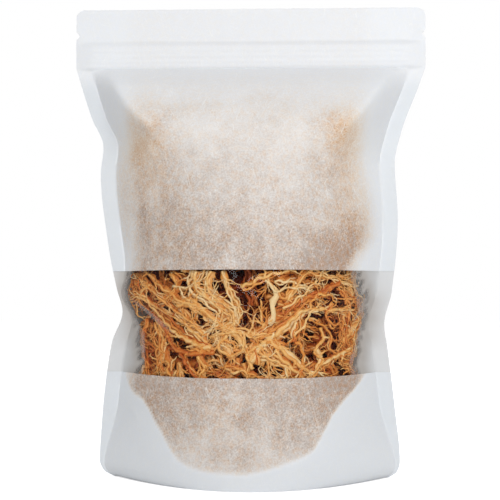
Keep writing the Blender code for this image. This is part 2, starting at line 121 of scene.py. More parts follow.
# %% Colour and node helpers
def linear(code):
    """A linear RGBA colour from an sRGB hex code."""
    parts = [int(code[i:i + 2], 16) / 255.0 for i in (1, 3, 5)]
    return [p / 12.92 if p <= 0.04045 else ((p + 0.055) / 1.055) ** 2.4 for p in parts] + [1.0]


def add_node(tree, kind, settings=None, **inputs):
    """Adds a node: settings are its properties, inputs are values, nodes or their outputs."""
    node = tree.nodes.new("ShaderNode" + kind)
    for name, value in (settings or {}).items():
        setattr(node, name, value)
    for name, value in inputs.items():
        socket = node.inputs[int(name[1:]) if name[1:].isdigit() else name.replace("_", " ")]
        if isinstance(value, bpy.types.Node):
            value = value.outputs[0]
        if isinstance(value, bpy.types.NodeSocket):
            tree.links.new(value, socket)
        else:
            socket.default_value = value
    return node


def maths(tree, operation, *values, clamp=False):
    """A Math node that works on these values or nodes."""
    inputs = {f"_{number}": value for number, value in enumerate(values)}
    return add_node(tree, "Math", {"operation": operation, "use_clamp": clamp}, **inputs)


def mix_colours(tree, share, first, second, blend='MIX'):
    """The mixed colour: share says how much of the second one."""
    return add_node(tree, "Mix", {"data_type": 'RGBA', "blend_type": blend}, _0=share, _6=first,
                    _7=second).outputs[2]


def colour_ramp(tree, share, stops):
    """A colour ramp from 0 to 1 through these (place, sRGB hex) stops."""
    ramp = add_node(tree, "ValToRGB", Fac=share)
    for place, _ in stops[1:-1]:
        ramp.color_ramp.elements.new(place)
    for element, (_, code) in zip(ramp.color_ramp.elements, stops):
        element.color = linear(code)
    return ramp


def stored_facts(tree, name):
    """The four numbers that a mesh stores per vertex under this name."""
    stored = add_node(tree, "Attribute", {"attribute_name": name})
    return [*add_node(tree, "SeparateColor", Color=stored).outputs, stored.outputs["Alpha"]]


def new_material(name):
    """An empty node material and its tree."""
    made = bpy.data.materials.new(name)
    made.use_nodes = True
    made.node_tree.nodes.clear()
    return made, made.node_tree


# %% [markdown]
# The pouch stands on a plain white floor. A real photographer would light a white table until it
# disappears. Here the floor glows a little by itself, so that only the soft contact shadow stays.

# %% Floor
FLOOR_SIZE = 6.0
FLOOR_GLOW = 0.62
FLOOR_DROP = 0.2 * MM

floor_finish, tree = new_material("white_table_laminate")
seen = add_node(tree, "LightPath").outputs["Is Camera Ray"]
surface = add_node(tree, "BsdfPrincipled", Base_Color=linear("#f2f2f2"), Roughness=0.8,
                   Emission_Color=linear("#ffffff"),
                   Emission_Strength=maths(tree, 'MULTIPLY', seen, FLOOR_GLOW))
add_node(tree, "OutputMaterial", Surface=surface)
deselect_all()
bpy.ops.mesh.primitive_plane_add(size=FLOOR_SIZE, location=(0.0, 0.0, cad_low.z - FLOOR_DROP))
floor = bpy.context.object
floor.name = "table_top"
floor.data.materials.append(floor_finish)
floor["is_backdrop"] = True

# %% [markdown]
# Product light is mostly soft: a white room, a wide softbox above the camera that shapes the
# belly, a weak one overhead for the edges, and one behind that lights the back and glows through
# it into the moss. The room shows pure white behind the pouch, but lights it less, so that the
# sides of the belly fall off into grey.

# %% Light
ROOM_LIGHT = 0.45
# name, place, size, power in watts
SOFTBOXES = (
    ("softbox_key", (0.20, -1.08, 0.62), 0.7, 7.3),
    ("softbox_top", (0.0, 0.30, 1.10), 0.8, 0.8),
    ("softbox_back", (0.25, 1.10, 0.75), 0.7, 7.0),
)

world = bpy.data.worlds.new("white_room")
bpy.context.scene.world = world
world.use_nodes = True
tree = world.node_tree
tree.nodes.clear()
seen = add_node(tree, "LightPath").outputs["Is Camera Ray"]
strength = add_node(tree, "Mix", {"data_type": 'FLOAT'}, Factor=seen, A=ROOM_LIGHT, B=1.0)
room = add_node(tree, "Background", Color=(1.0, 1.0, 1.0, 1.0), Strength=strength)
add_node(tree, "OutputWorld", Surface=room)

pouch_middle = Vector((0.0, 0.0, (cad_low.z + cad_high.z) / 2.0))
for name, place, size, power in SOFTBOXES:
    deselect_all()
    bpy.ops.object.light_add(type='AREA', location=place)
    lamp = bpy.context.object
    lamp.name = name
    lamp.data.size = size
    lamp.data.energy = power
    lamp.rotation_euler = (pouch_middle - Vector(place)).to_track_quat('-Z', 'Y').to_euler()
bpy.context.scene.view_settings.view_transform = 'Standard'

# %% [markdown]
# Every sheet of the pouch follows one shape. It is a rule: how wide the pouch is at a height, how
# far the belly stands out there, and how that falls off towards the side seals. The same rule
# shaped the solids in the frame, so the fine sheets lie where the solids are. A smooth curve runs
# through a few measured widths, and never overshoots between them.

# %% Sizes of the pouch
POUCH_HEIGHT = 272.0 * MM
HEADER_HALF_WIDTH = 101.5 * MM
TOP_CORNER_RADIUS = 5.0 * MM
SIDE_SEAL = 9.0 * MM
BOTTOM_SIDE_SEAL = 2.0 * MM
SIDE_SEAL_FULL_AT = 0.045
WINDOW_LOW = 61.0 * MM
WINDOW_HIGH = 119.5 * MM
ZIPPER_LOW = 239.5 * MM
ZIPPER_HIGH = 249.5 * MM
NOTCH_HEIGHT = 257.0 * MM
NOTCH_DEPTH = 2.0 * MM
NOTCH_HALF = 2.5 * MM
GUSSET_FOLD = 51.0 * MM
GUSSET_SEAL_MIDDLE = 11.0 * MM
CLEARANCE = 0.3 * MM
PINCH_HEIGHT = 104.0 * MM
PINCH_REACH = 13.0 * MM
PINCH_FOLD = 0.82
# height, then how far the pouch's outer edge lies from its middle
LEFT_EDGE = (
    (0.000, 0.0790), (0.003, 0.0850), (0.009, 0.0878), (0.030, 0.0867), (0.060, 0.0838),
    (0.078, 0.0808), (0.096, 0.0745), (0.110, 0.0780), (0.135, 0.0828), (0.176, 0.0872),
    (0.192, 0.0856), (0.209, 0.0925), (0.2375, HEADER_HALF_WIDTH),
)
RIGHT_EDGE = (
    (0.000, 0.0800), (0.003, 0.0848), (0.009, 0.0868), (0.041, 0.0838), (0.073, 0.0800),
    (0.089, 0.0778), (0.108, 0.0822), (0.150, 0.0856), (0.182, 0.0838), (0.199, 0.0873),
    (0.227, 0.0978), (0.2375, HEADER_HALF_WIDTH),
)
# height, then how far the front and the back stand out from the seam
BELLY = (
    (0.000, 0.0460), (0.030, 0.0470), (0.062, 0.0476), (0.095, 0.0480), (0.130, 0.0470),
    (0.160, 0.0445), (0.190, 0.0400), (0.205, 0.0355), (0.2225, 0.0225), (0.2330, 0.0075),
    (0.2375, 0.0000),
)


def smooth_step(low, high, at):
    """0 below low, 1 above high, and an eased rise between them."""
    part = np.clip((at - low) / (high - low), 0.0, 1.0)
    return part * part * (3.0 - 2.0 * part)


def follow(points, at):
    """Values of a smooth curve through (place, value) points, with no overshoot between them."""
    places, values = np.array(points).T
    slopes = np.diff(values) / np.diff(places)
    tangents = np.concatenate([slopes[:1], np.zeros(len(slopes) - 1), slopes[-1:]])
    same_way = slopes[:-1] * slopes[1:] > 0.0
    total = np.where(same_way, slopes[:-1] + slopes[1:], 1.0)
    tangents[1:-1] = np.where(same_way, 2.0 * slopes[:-1] * slopes[1:] / total, 0.0)
    at = np.clip(at, places[0], places[-1])
    i = np.clip(np.searchsorted(places, at, side="right") - 1, 0, len(places) - 2)
    span = places[i + 1] - places[i]
    part = (at - places[i]) / span
    rise = part * (1.0 - part) * ((1.0 - part) * tangents[i] - part * tangents[i + 1]) * span
    return values[i] + (values[i + 1] - values[i]) * smooth_step(0.0, 1.0, part) + rise


def follow_side(x, left, right, at):
    """Values of the left curve where x is left of the middle, and of the right one elsewhere."""
    return np.where(x < 0.0, follow(left, at), follow(right, at))


def side_edge(x, height):
    return follow_side(x, LEFT_EDGE, RIGHT_EDGE, height)


def seal_width(height, x):
    """Width of the side seal; at the left pinch it is folded back, so less of it shows."""
    rise = smooth_step(0.0, SIDE_SEAL_FULL_AT, height)
    folded = PINCH_FOLD * np.exp(-((height - PINCH_HEIGHT) / PINCH_REACH) ** 2)
    width = BOTTOM_SIDE_SEAL + (SIDE_SEAL - BOTTOM_SIDE_SEAL) * rise
    return width * (1.0 - np.where(np.asarray(x) < 0.0, folded, 0.0))


def column_at(x, height):
    """A place across the pouch: 0 in the middle, 1 at the seal's inner line."""
    return x / (side_edge(x, height) - seal_width(height, x))


# %% [markdown]
# The outer edge of the header has rounded corners and a small tear notch on each side. The sheet
# keeps whole rows there, and only its outermost strip is pulled in.

# %% Outline of the pouch
def side_place(column, height):
    """x of a column: 1 is the seal's inner line and 2 its outer edge."""
    seal = seal_width(height, column)
    inner = side_edge(column, height) - seal
    up = np.clip(height - (POUCH_HEIGHT - TOP_CORNER_RADIUS), 0.0, TOP_CORNER_RADIUS)
    trimmed = TOP_CORNER_RADIUS - np.sqrt(TOP_CORNER_RADIUS ** 2 - up ** 2)
    trimmed += NOTCH_DEPTH * np.clip(1.0 - np.abs(height - NOTCH_HEIGHT) / NOTCH_HALF, 0.0, 1.0)
    reach = np.minimum(np.abs(column), 1.0) * inner
    reach += np.clip(np.abs(column) - 1.0, 0.0, 1.0) * (seal - trimmed)
    return np.copysign(reach, column)


# %% [markdown]
# Below the zipper the front is pulled out into a flat, tilted facet, and from its two corners
# creases run down to the shoulders of the belly. Outside the creases the sheet falls back to the
# side seals. So the belly is a mix of two profiles: round where it is full of moss, and flat
# between two creases under the zipper.

# %% Belly, shoulders and folds
FOOT_ROUNDNESS = 2.0
ROUNDER_BY = 0.4
ROUND_FROM = 0.05
# height, then the column at which the crease runs
CREASE_PLACE = ((0.170, 0.55), (0.190, 0.64), (0.210, 0.78), (0.2375, 0.90))
SHOULDER_FALL = 1.3
SHOULDER = (0.165, 0.205)
# middle (x, z), reach sideways and upwards, depth
FRONT_DENTS = (
    (-0.066, 0.098, 0.016, 0.010, 0.0045),
    (0.066, 0.090, 0.016, 0.011, 0.0040),
    (-0.074, 0.193, 0.018, 0.006, 0.0035),
    (0.060, 0.176, 0.018, 0.012, 0.0020),
)
BACK_DENTS = (
    (0.064, 0.097, 0.018, 0.011, 0.0045),
    (-0.062, 0.120, 0.020, 0.013, 0.0040),
    (0.020, 0.176, 0.024, 0.014, 0.0020),
)
LUMP_SIZE = 30.0 * MM
LUMP_DEPTH = 1.3 * MM
LUMP_SLICE = 7.3
LUMP_FALL = 4
# pairs of heights over which a thing fades in or out
LUMPS_IN, LUMPS_OUT = (0.0, 0.025), (0.205, 0.235)
ZIPPER_IN = (ZIPPER_LOW - 3.0 * MM, ZIPPER_LOW - 1.0 * MM)
ZIPPER_OUT = (ZIPPER_HIGH + 1.0 * MM, ZIPPER_HIGH + 3.5 * MM)
ZIPPER_SWELL = 1.7 * MM


def band(fade_in, fade_out, at):
    """1 between two fades and 0 outside them."""
    return smooth_step(*fade_in, at) * (1.0 - smooth_step(*fade_out, at))


def hill(x, z, middle_x, middle_z, reach_x, reach_z):
    """1 at a place on the sheet, falling to 0 around it."""
    return np.exp(-((x - middle_x) / reach_x) ** 2 - ((z - middle_z) / reach_z) ** 2)


def noise_field(x, height, size, slice_at):
    """Smooth noise between about -1 and 1 over the sheet, with lumps of this size."""
    return np.array([noise.noise(Vector((a / size, slice_at, b / size)))
                     for a, b in zip(x, height)])


def lumps(x, height, side):
    """How far the moss and the dents push a sheet out or in."""
    bump = LUMP_DEPTH * noise_field(x, height, LUMP_SIZE, LUMP_SLICE * side)
    for *dent, depth in FRONT_DENTS if side < 0 else BACK_DENTS:
        bump -= depth * hill(x, height, *dent)
    return bump


def belly_profile(column, height):
    """1 in the middle of the belly and 0 at the seal's inner line."""
    inside = np.minimum(np.abs(column), 1.0)
    full = 1.0 - inside ** (FOOT_ROUNDNESS + ROUNDER_BY * smooth_step(0.0, ROUND_FROM, height))
    crease = follow(CREASE_PLACE, height)
    flat = 1.0 - np.clip((inside - crease) / (1.0 - crease), 0.0, 1.0) ** SHOULDER_FALL
    return full + (flat - full) * smooth_step(*SHOULDER, height)


def stand_out(column, height, side):
    """Distance of a sheet's inner face from the seam between the front and the back."""
    inside = np.minimum(np.abs(column), 1.0)
    belly = follow(BELLY, height) * belly_profile(column, height)
    fade = band(LUMPS_IN, LUMPS_OUT, height) * (1.0 - inside ** LUMP_FALL)
    belly += lumps(side_place(column, height), height, side) * fade
    zipper = band(ZIPPER_IN, ZIPPER_OUT, height) * (1.0 - np.clip(np.abs(column) - 1.0, 0.0, 1.0))
    return CLEARANCE / 2.0 + belly + ZIPPER_SWELL * zipper


# %% [markdown]
# The film and the paper crumple in small ways as well: ridges a few millimetres wide, pushed out
# by the strands behind them. They are real relief, so that the light catches them.

# %% Small crumples of the sheets
CRUMPLE_SIZE = 11.0 * MM
CRUMPLE_DEPTH = 0.45 * MM
FOLD_SLICE, FOLD_SHARE, FOLD_LEVEL = 3.1, 0.8, 0.6
FINE_SLICE, FINE_SHARE, FINER_BY = 9.7, 0.5, 2.3
CRUMPLE_IN, CRUMPLE_OUT = (0.0, 0.020), (0.222, 0.236)
SEAL_CRUMPLE, HEADER_CRUMPLE, CRUMPLE_FALL = 0.23, 0.05, 6
RIDGE_ENDS, RIDGE_MARGIN = 0.3, 0.02
# start (x, z), end (x, z), how wide, how high
FRONT_RIDGES = (
    ((-0.0700, 0.1050), (-0.0400, 0.0840), 1.1 * MM, 1.4 * MM),
    ((0.0690, 0.1070), (0.0590, 0.0900), 0.9 * MM, 1.2 * MM),
    ((-0.0840, 0.1925), (-0.0560, 0.1915), 1.8 * MM, 2.0 * MM),
    ((-0.0560, 0.1915), (-0.0480, 0.1720), 1.8 * MM, 1.2 * MM),
    ((0.0560, 0.2020), (0.0500, 0.1800), 1.8 * MM, 1.3 * MM),
    ((0.0760, 0.1860), (0.0600, 0.1800), 1.6 * MM, 1.2 * MM),
    ((0.0740, 0.0520), (0.0620, 0.0400), 1.4 * MM, 0.9 * MM),
    ((-0.0740, 0.0500), (-0.0600, 0.0330), 1.6 * MM, 0.9 * MM),
)
ZIPPER_RIDGES = (0.2413, 0.2445, 0.2478)
ZIPPER_RIDGE_RISE = 0.30 * MM
ZIPPER_RIDGE_HALF = 0.9 * MM


def ridge(x, height, start, end, reach, rise):
    """A sharp fold line between two places, highest in its middle."""
    run = np.array(end) - np.array(start)
    along = ((x - start[0]) * run[0] + (height - start[1]) * run[1]) / (run @ run)
    along = np.clip(along, 0.0, 1.0)
    away = np.hypot(x - start[0] - along * run[0], height - start[1] - along * run[1])
    arch = np.sin(np.pi * np.clip(along, RIDGE_MARGIN, 1.0 - RIDGE_MARGIN))
    return rise * np.exp(-away / reach) * (RIDGE_ENDS + (1.0 - RIDGE_ENDS) * arch)


def crumple(column, x, height, side):
    """Small relief on top of the shape rule, little along the seals, none at the bottom edge."""
    fold = 1.0 - 2.0 * np.abs(noise_field(x, height, CRUMPLE_SIZE, FOLD_SLICE + side))
    fine = noise_field(x, height, CRUMPLE_SIZE / FINER_BY, FINE_SLICE + side)
    relief = CRUMPLE_DEPTH * (FOLD_SHARE * (fold - FOLD_LEVEL) + FINE_SHARE * fine)
    if side < 0:
        for start, end, reach, rise in FRONT_RIDGES:
            relief += ridge(x, height, start, end, reach, rise)
    inside = np.minimum(np.abs(column), 1.0)
    fade = band(CRUMPLE_IN, CRUMPLE_OUT, height)
    calm = SEAL_CRUMPLE + (HEADER_CRUMPLE - SEAL_CRUMPLE) * smooth_step(*CRUMPLE_OUT, height)
    relief *= fade * np.maximum(1.0 - inside ** CRUMPLE_FALL, calm)
    for place in ZIPPER_RIDGES:
        pressed = np.exp(-((height - place) / ZIPPER_RIDGE_HALF) ** 2)
        relief += ZIPPER_RIDGE_RISE * pressed * (np.abs(column) < 1.0)
    return relief


# %% [markdown]
# Each sheet starts as Blender's grid. Its columns become places across the pouch and its rows
# become heights, and the rule moves every corner of the grid to where the sheet hangs. Solidify
# then gives it a thickness. A grid keeps its neat rows, so nothing needs to be sewn.

# %% Sheets from a grid
SEAL_CELLS = 6
SHEET_COLUMNS = 140
BACK_COLUMNS = 100
SMOOTH_ANGLE = math.radians(60.0)


def grid_columns(share, columns):
    """The grid's -1 to 1 across as a column, with whole cells on each side seal."""
    inner = 1.0 - 2.0 * SEAL_CELLS / columns
    outside = 1.0 + (np.abs(share) - inner) / (1.0 - inner)
    return np.where(np.abs(share) <= inner, share / inner, np.copysign(outside, share))


def get_points(piece, layer="co"):
    points = np.empty(3 * len(piece.data.vertices))
    piece.data.vertices.foreach_get(layer, points)
    return points.reshape(-1, 3)


def set_points(piece, points):
    piece.data.vertices.foreach_set("co", np.ascontiguousarray(points, dtype=np.float32).ravel())
    piece.data.update()


def new_grid(name, columns, rows):
    """A flat grid: the piece, where its corners lie across it (-1 to 1), and their row numbers."""
    deselect_all()
    bpy.ops.mesh.primitive_grid_add(x_subdivisions=columns, y_subdivisions=rows, size=2.0)
    piece = bpy.context.object
    piece.name = name
    flat = get_points(piece)
    return piece, flat[:, 0], np.rint((flat[:, 1] + 1.0) / 2.0 * rows).astype(int)


def thicken(piece, thickness, offset):
    """Gives a sheet its thickness, and keeps it between the table and the pouch's top."""
    make_active(piece)
    solidify = piece.modifiers.new("solidify", 'SOLIDIFY')
    solidify.thickness, solidify.offset = thickness, offset
    bpy.ops.object.modifier_apply(modifier=solidify.name)
    points = get_points(piece)
    points[:, 2] = np.clip(points[:, 2], 0.0, POUCH_HEIGHT)
    set_points(piece, points)
    bpy.ops.object.shade_smooth_by_angle(angle=SMOOTH_ANGLE)
    print(piece.name, len(points), "vertices")


def web_sheet(name, heights, side, offset, thickness, columns=SHEET_COLUMNS):
    """A sheet of the front (side -1) or back (side 1), its outer face this far off the rule."""
    piece, share, row = new_grid(name, columns, len(heights) - 1)
    column, height = grid_columns(share, columns), np.array(heights)[row]
    x = side_place(column, height)
    depth = stand_out(column, height, side) + crumple(column, x, height, side)
    set_points(piece, np.column_stack([x, side * depth, height]))
    if side > 0:
        bpy.ops.object.mode_set(mode='EDIT')
        bpy.ops.mesh.select_all(action='SELECT')
        bpy.ops.mesh.flip_normals()
        bpy.ops.object.mode_set(mode='OBJECT')
    set_points(piece, get_points(piece) + offset * get_points(piece, "normal"))
    thicken(piece, thickness, -1.0)
    return piece


def row_heights(low, high, spacing):
    """Even heights from low to high, no further apart than this spacing."""
    return list(np.linspace(low, high, max(int(math.ceil((high - low) / spacing)), 2) + 1))


# %% [markdown]
# The film runs the whole height of the front and carries the paper. Real film is 0.1 mm thick,
# and here it is a little thicker so that it stays a sound solid. The two paper panels lie on it
# with a hair of air between them.

# %% The front film, the paper panels and the back
ROW_SPACING = 1.4 * MM
ZIPPER_SPACING = 0.65 * MM
BACK_ROW_SPACING = 2.0 * MM
FILM_OUT = 0.25 * MM
FILM_THICKNESS = 0.15 * MM
PAPER_OUT = 0.55 * MM
PAPER_THICKNESS = 0.18 * MM
BACK_OUT = 0.50 * MM
BACK_THICKNESS = 0.40 * MM
CORNER_STEPS = 8

notch_rows = [NOTCH_HEIGHT + step * NOTCH_HALF / 2.0 for step in (-2, -1, 0, 1, 2)]
corner_rows = [POUCH_HEIGHT - TOP_CORNER_RADIUS * (1.0 - math.sin(math.pi / 2.0 * k / CORNER_STEPS))
               for k in range(CORNER_STEPS + 1)]
header_rows = row_heights(ZIPPER_HIGH, notch_rows[0], ROW_SPACING)[:-1] + notch_rows
header_rows += row_heights(notch_rows[-1], corner_rows[0], ROW_SPACING)[1:-1] + corner_rows
zipper_rows = row_heights(ZIPPER_IN[0], ZIPPER_HIGH, ZIPPER_SPACING)[:-1]
body_rows = row_heights(WINDOW_HIGH, zipper_rows[0], ROW_SPACING)[:-1] + zipper_rows + header_rows
low_rows = row_heights(0.0, WINDOW_LOW, ROW_SPACING)
window_rows = row_heights(WINDOW_LOW, WINDOW_HIGH, ROW_SPACING)
back_rows = row_heights(0.0, ZIPPER_HIGH, BACK_ROW_SPACING)[:-1] + header_rows

front_film = web_sheet("front_film", low_rows[:-1] + window_rows[:-1] + body_rows, -1, FILM_OUT,
                       FILM_THICKNESS)
upper_paper = web_sheet("rice_paper_upper", body_rows, -1, PAPER_OUT, PAPER_THICKNESS)
lower_paper = web_sheet("rice_paper_lower", low_rows, -1, PAPER_OUT, PAPER_THICKNESS)
back_sheet = web_sheet("back_laminate_sheet", back_rows, 1, BACK_OUT, BACK_THICKNESS, BACK_COLUMNS)

# %% [markdown]
# The bottom gusset is a second sheet, folded up between front and back. It is sealed to both
# along a curve that is low in the middle and high at the sides, and its free middle lies flat on
# the table. One grid follows it: up the inside of the front, across the floor, up the back.

# %% The bottom gusset
GUSSET_COLUMNS = 72
SKIRT_ROWS = 10
FREE_ROWS = 36
GUSSET_THICKNESS = 0.25 * MM
GUSSET_INSET = 0.45 * MM
GUSSET_LOWEST = 0.1 * MM
GUSSET_WIDTH = 0.985
SEAL_CURVE = 2.4
# where the free floor starts to rise, and how steeply: sideways, and towards front and back
RISE_SIDEWAYS, RISE_ACROSS = (0.28, 2.2), (0.35, 2.0)


def rise_from(share, start, power):
    return np.maximum((np.abs(share) - start) / (1.0 - start), 0.0) ** power


def gusset_seal(column):
    """Height up to which the gusset is sealed to the front and the back."""
    return GUSSET_SEAL_MIDDLE + (GUSSET_FOLD - GUSSET_SEAL_MIDDLE) * np.abs(column) ** SEAL_CURVE


def gusset_free(column, across):
    """Height of the unsealed gusset: across is -1 at the front seal and 1 at the back."""
    middle, rim = GUSSET_FOLD * rise_from(column, *RISE_SIDEWAYS), gusset_seal(column)
    return GUSSET_THICKNESS + middle + (rim - middle) * rise_from(across, *RISE_ACROSS)


gusset_rows = 2 * SKIRT_ROWS + FREE_ROWS
gusset, share, line = new_grid("bottom_gusset", GUSSET_COLUMNS, gusset_rows)
column = np.clip(share, -1.0, 1.0)
rim = gusset_seal(column)
height = rim * np.clip(np.minimum(line, gusset_rows - line) / SKIRT_ROWS, 0.0, 1.0)
wall_front, wall_back = (stand_out(column, height, side) - GUSSET_INSET for side in (-1, 1))
rim_front, rim_back = (stand_out(column, rim, side) - GUSSET_INSET for side in (-1, 1))
across = np.clip((line - SKIRT_ROWS) / FREE_ROWS, 0.0, 1.0)
free = (line >= SKIRT_ROWS) & (line <= gusset_rows - SKIRT_ROWS)
y = np.where(line < gusset_rows / 2.0, -wall_front, wall_back)
y = np.where(free, across * (rim_front + rim_back) - rim_front, y)
height = np.where(free, gusset_free(column, 2.0 * across - 1.0), height)
x = side_place(GUSSET_WIDTH * column, np.where(free, rim, height))
set_points(gusset, np.column_stack([x, y, np.maximum(height, GUSSET_LOWEST)]))
thicken(gusset, GUSSET_THICKNESS, 0.0)

# %% [markdown]
# Dried sea moss is a tangle of tough strands, one to two millimetres wide and a little flattened.
# Every frond has a stem that forks again and again into thinner branches, and in the pouch the
# fronds are pressed against the film in sweeping bundles. A frond is grown here as lines over the
# film: a place (x, z) and a depth behind the film. Later a strand is laid along each line.

# %% Where moss can lie
STRAND_RINGS = 8
STRAND_STEPS = STRAND_RINGS - 1
MOSS_LOW_GAP = 5.0 * MM
MOSS_HIGH = 214.0 * MM
# height, then the share of the pouch's half width that the moss fills there
LEFT_REACH = ((0.030, 0.88), (0.055, 0.86), (0.066, 0.83), (0.082, 0.87), (0.094, 0.99),
              (0.110, 0.99), (0.122, 0.95), (0.150, 0.93), (0.215, 0.80))
RIGHT_REACH = ((0.030, 0.88), (0.055, 0.84), (0.066, 0.82), (0.080, 0.90), (0.092, 0.96),
               (0.102, 0.88), (0.120, 0.80), (0.140, 0.93), (0.215, 0.80))
TABLE_HIGH, TABLE_STEPS = 0.24, 200
table_heights = np.linspace(0.0, TABLE_HIGH, TABLE_STEPS)
left_moss, right_moss = (
    (follow(edge, table_heights) - seal_width(table_heights, side)) * follow(reach, table_heights)
    for edge, reach, side in ((LEFT_EDGE, LEFT_REACH, -1.0), (RIGHT_EDGE, RIGHT_REACH, 1.0)))


def moss_reach(x, z):
    """How far the moss reaches from the middle at this height, on the side of x."""
    return np.where(x < 0.0, np.interp(z, table_heights, left_moss),
                    np.interp(z, table_heights, right_moss))


def outside_by(x, z):
    """Which way a place has to turn to get back among the moss: (0, 0) inside."""
    room = float(moss_reach(x, z))
    push_x = -math.copysign(1.0, x) if abs(x) > room else 0.0
    lowest = float(gusset_seal(min(abs(x) / room, 1.0))) + MOSS_LOW_GAP
    push_z = 1.0 if z < lowest else -1.0 if z > MOSS_HIGH else 0.0
    return push_x, push_z


# %% [markdown]
# A line keeps a heading that bends smoothly. Where it would leave the room that the moss has, it
# turns back. At its end it forks into two or three thinner ones.

# %% Growing fronds
FINE_DEPTH = 4.5 * MM
KINK_TURN = (60.0, 330.0)
KINK_LENGTH = (5.5 * MM, 10.0 * MM)
TURN_BACK = 0.45
STRAND_FLATNESS = 0.45
DEPTH_SPREAD = 1.2 * MM
LEAST_DEPTH = 1.0 * MM
DEPTH_OF_WIDTH = 0.4
TIP_WIDTH, BRANCH_WIDTH = (0.35, 0.6), (0.74, 0.92)
CHILD_LENGTH, CHILD_WIDTH = (0.62, 0.98), (0.86, 1.0)
FORK_ANGLE = (0.22, 0.66)
TWO_WAYS = 0.7
FROND_TONE = 0.10
MOSS_SEED = 11
draw = random.Random(MOSS_SEED)
strands = []


def heading_of(before, after):
    return math.atan2(after[1] - before[1], after[0] - before[0])


def vary_tone(shade, spread):
    return min(max(shade + draw.gauss(0.0, spread), 0.0), 1.0)


def run_line(x, z, heading, length, curl, parts=1):
    """Places along one bending line, with the rings of this many strands end to end."""
    steps = parts * STRAND_STEPS
    step = length / steps
    bend = draw.gauss(0.0, curl)
    kink, phase = draw.uniform(*KINK_TURN), draw.uniform(0.0, math.tau)
    rate = math.tau * step / draw.uniform(*KINK_LENGTH)
    places = [(x, z)]
    for count in range(1, steps + 1):
        heading += (bend + kink * math.sin(phase + count * rate)) * step
        push_x, push_z = outside_by(x, z)
        if push_x or push_z:
            wanted = math.atan2(push_z or math.sin(heading), push_x or math.cos(heading))
            heading += TURN_BACK * ((wanted - heading + math.pi) % math.tau - math.pi)
        x += step * math.cos(heading)
        z += step * math.sin(heading)
        places.append((x, z))
    return places, heading


def add_strand(places, depths, widths, shade, tip, side=-1, fine=True, flat=STRAND_FLATNESS):
    strands.append({"places": places, "depth": depths, "width": widths, "shade": shade, "tip": tip,
                    "side": side, "fine": fine and min(depths) < FINE_DEPTH, "flat": flat})


def frond(x, z, heading, length, width, depth, forks, curl, shade, side=-1, fine=True):
    """A forking frond that starts at (x, z): each fork is thinner and a little shorter."""
    growing = [(x, z, heading, length, width, depth, forks)]
    while growing:
        x, z, heading, length, width, depth, forks = growing.pop()
        places, end_heading = run_line(x, z, heading, length, curl)
        depth_end = max(depth + draw.gauss(0.0, DEPTH_SPREAD), LEAST_DEPTH + DEPTH_OF_WIDTH * width)
        last = forks == 0
        width_end = width * draw.uniform(*(TIP_WIDTH if last else BRANCH_WIDTH))
        tone = vary_tone(shade, FROND_TONE)
        add_strand(places, (depth, depth_end), (width, width_end), tone, last, side, fine)
        if last:
            continue
        for way in (-1.0, 1.0) if draw.random() < TWO_WAYS else (-1.0, 0.1, 1.0):
            growing.append((*places[-1], end_heading + way * draw.uniform(*FORK_ANGLE),
                            length * draw.uniform(*CHILD_LENGTH),
                            width_end * draw.uniform(*CHILD_WIDTH), depth_end, forks - 1))


# %% [markdown]
# Strands seldom lie alone. They come off one holdfast, run side by side, part and meet again, and
# leave long narrow holes between them, as in a net. So a bundle is one route with several members
# that sway about it, each giving off short twigs and ending in a small fan. A thin dried web
# joins the members of the fuller ones.

# %% Bundles of strands
WEB_BEHIND = 1.3 * MM
WEB_WIDTH = 2.1
WEB_DARKER = 0.16
WEB_FLATNESS = 0.14
KINK_SWAY = (0.2 * MM, 0.75 * MM)
SWAYS, SWAY_SHARE, LEAN = (0.5, 1.5), 0.75, 0.9
MEMBER_WIDTH, MEMBER_TONE, MEMBER_BEHIND = (0.65, 1.05), 0.11, 1.6
THINNER_BY = 0.4
TWIG_ANGLE, TWIG_LENGTH, TWIG_WIDTH, TWIG_CURL = (0.3, 0.9), (3.5, 8.0), (0.55, 0.85), 120.0
FAN_ANGLE, FAN_SCATTER, FAN_LENGTH, FAN_WIDTH, FAN_CURL = 0.32, 0.12, (5.0, 10.0), 0.85, 80.0


def side_step(route, amounts):
    """The same route, moved sideways by these amounts."""
    moved = []
    for k, (x, z) in enumerate(route):
        run = heading_of(route[max(k - 1, 0)], route[min(k + 1, len(route) - 1)])
        moved.append((x - math.sin(run) * amounts[k], z + math.cos(run) * amounts[k]))
    return moved


def strand_parts(line):
    """The strands that lie end to end along a line."""
    return [line[k:k + STRAND_RINGS] for k in range(0, len(line) - 1, STRAND_STEPS)]


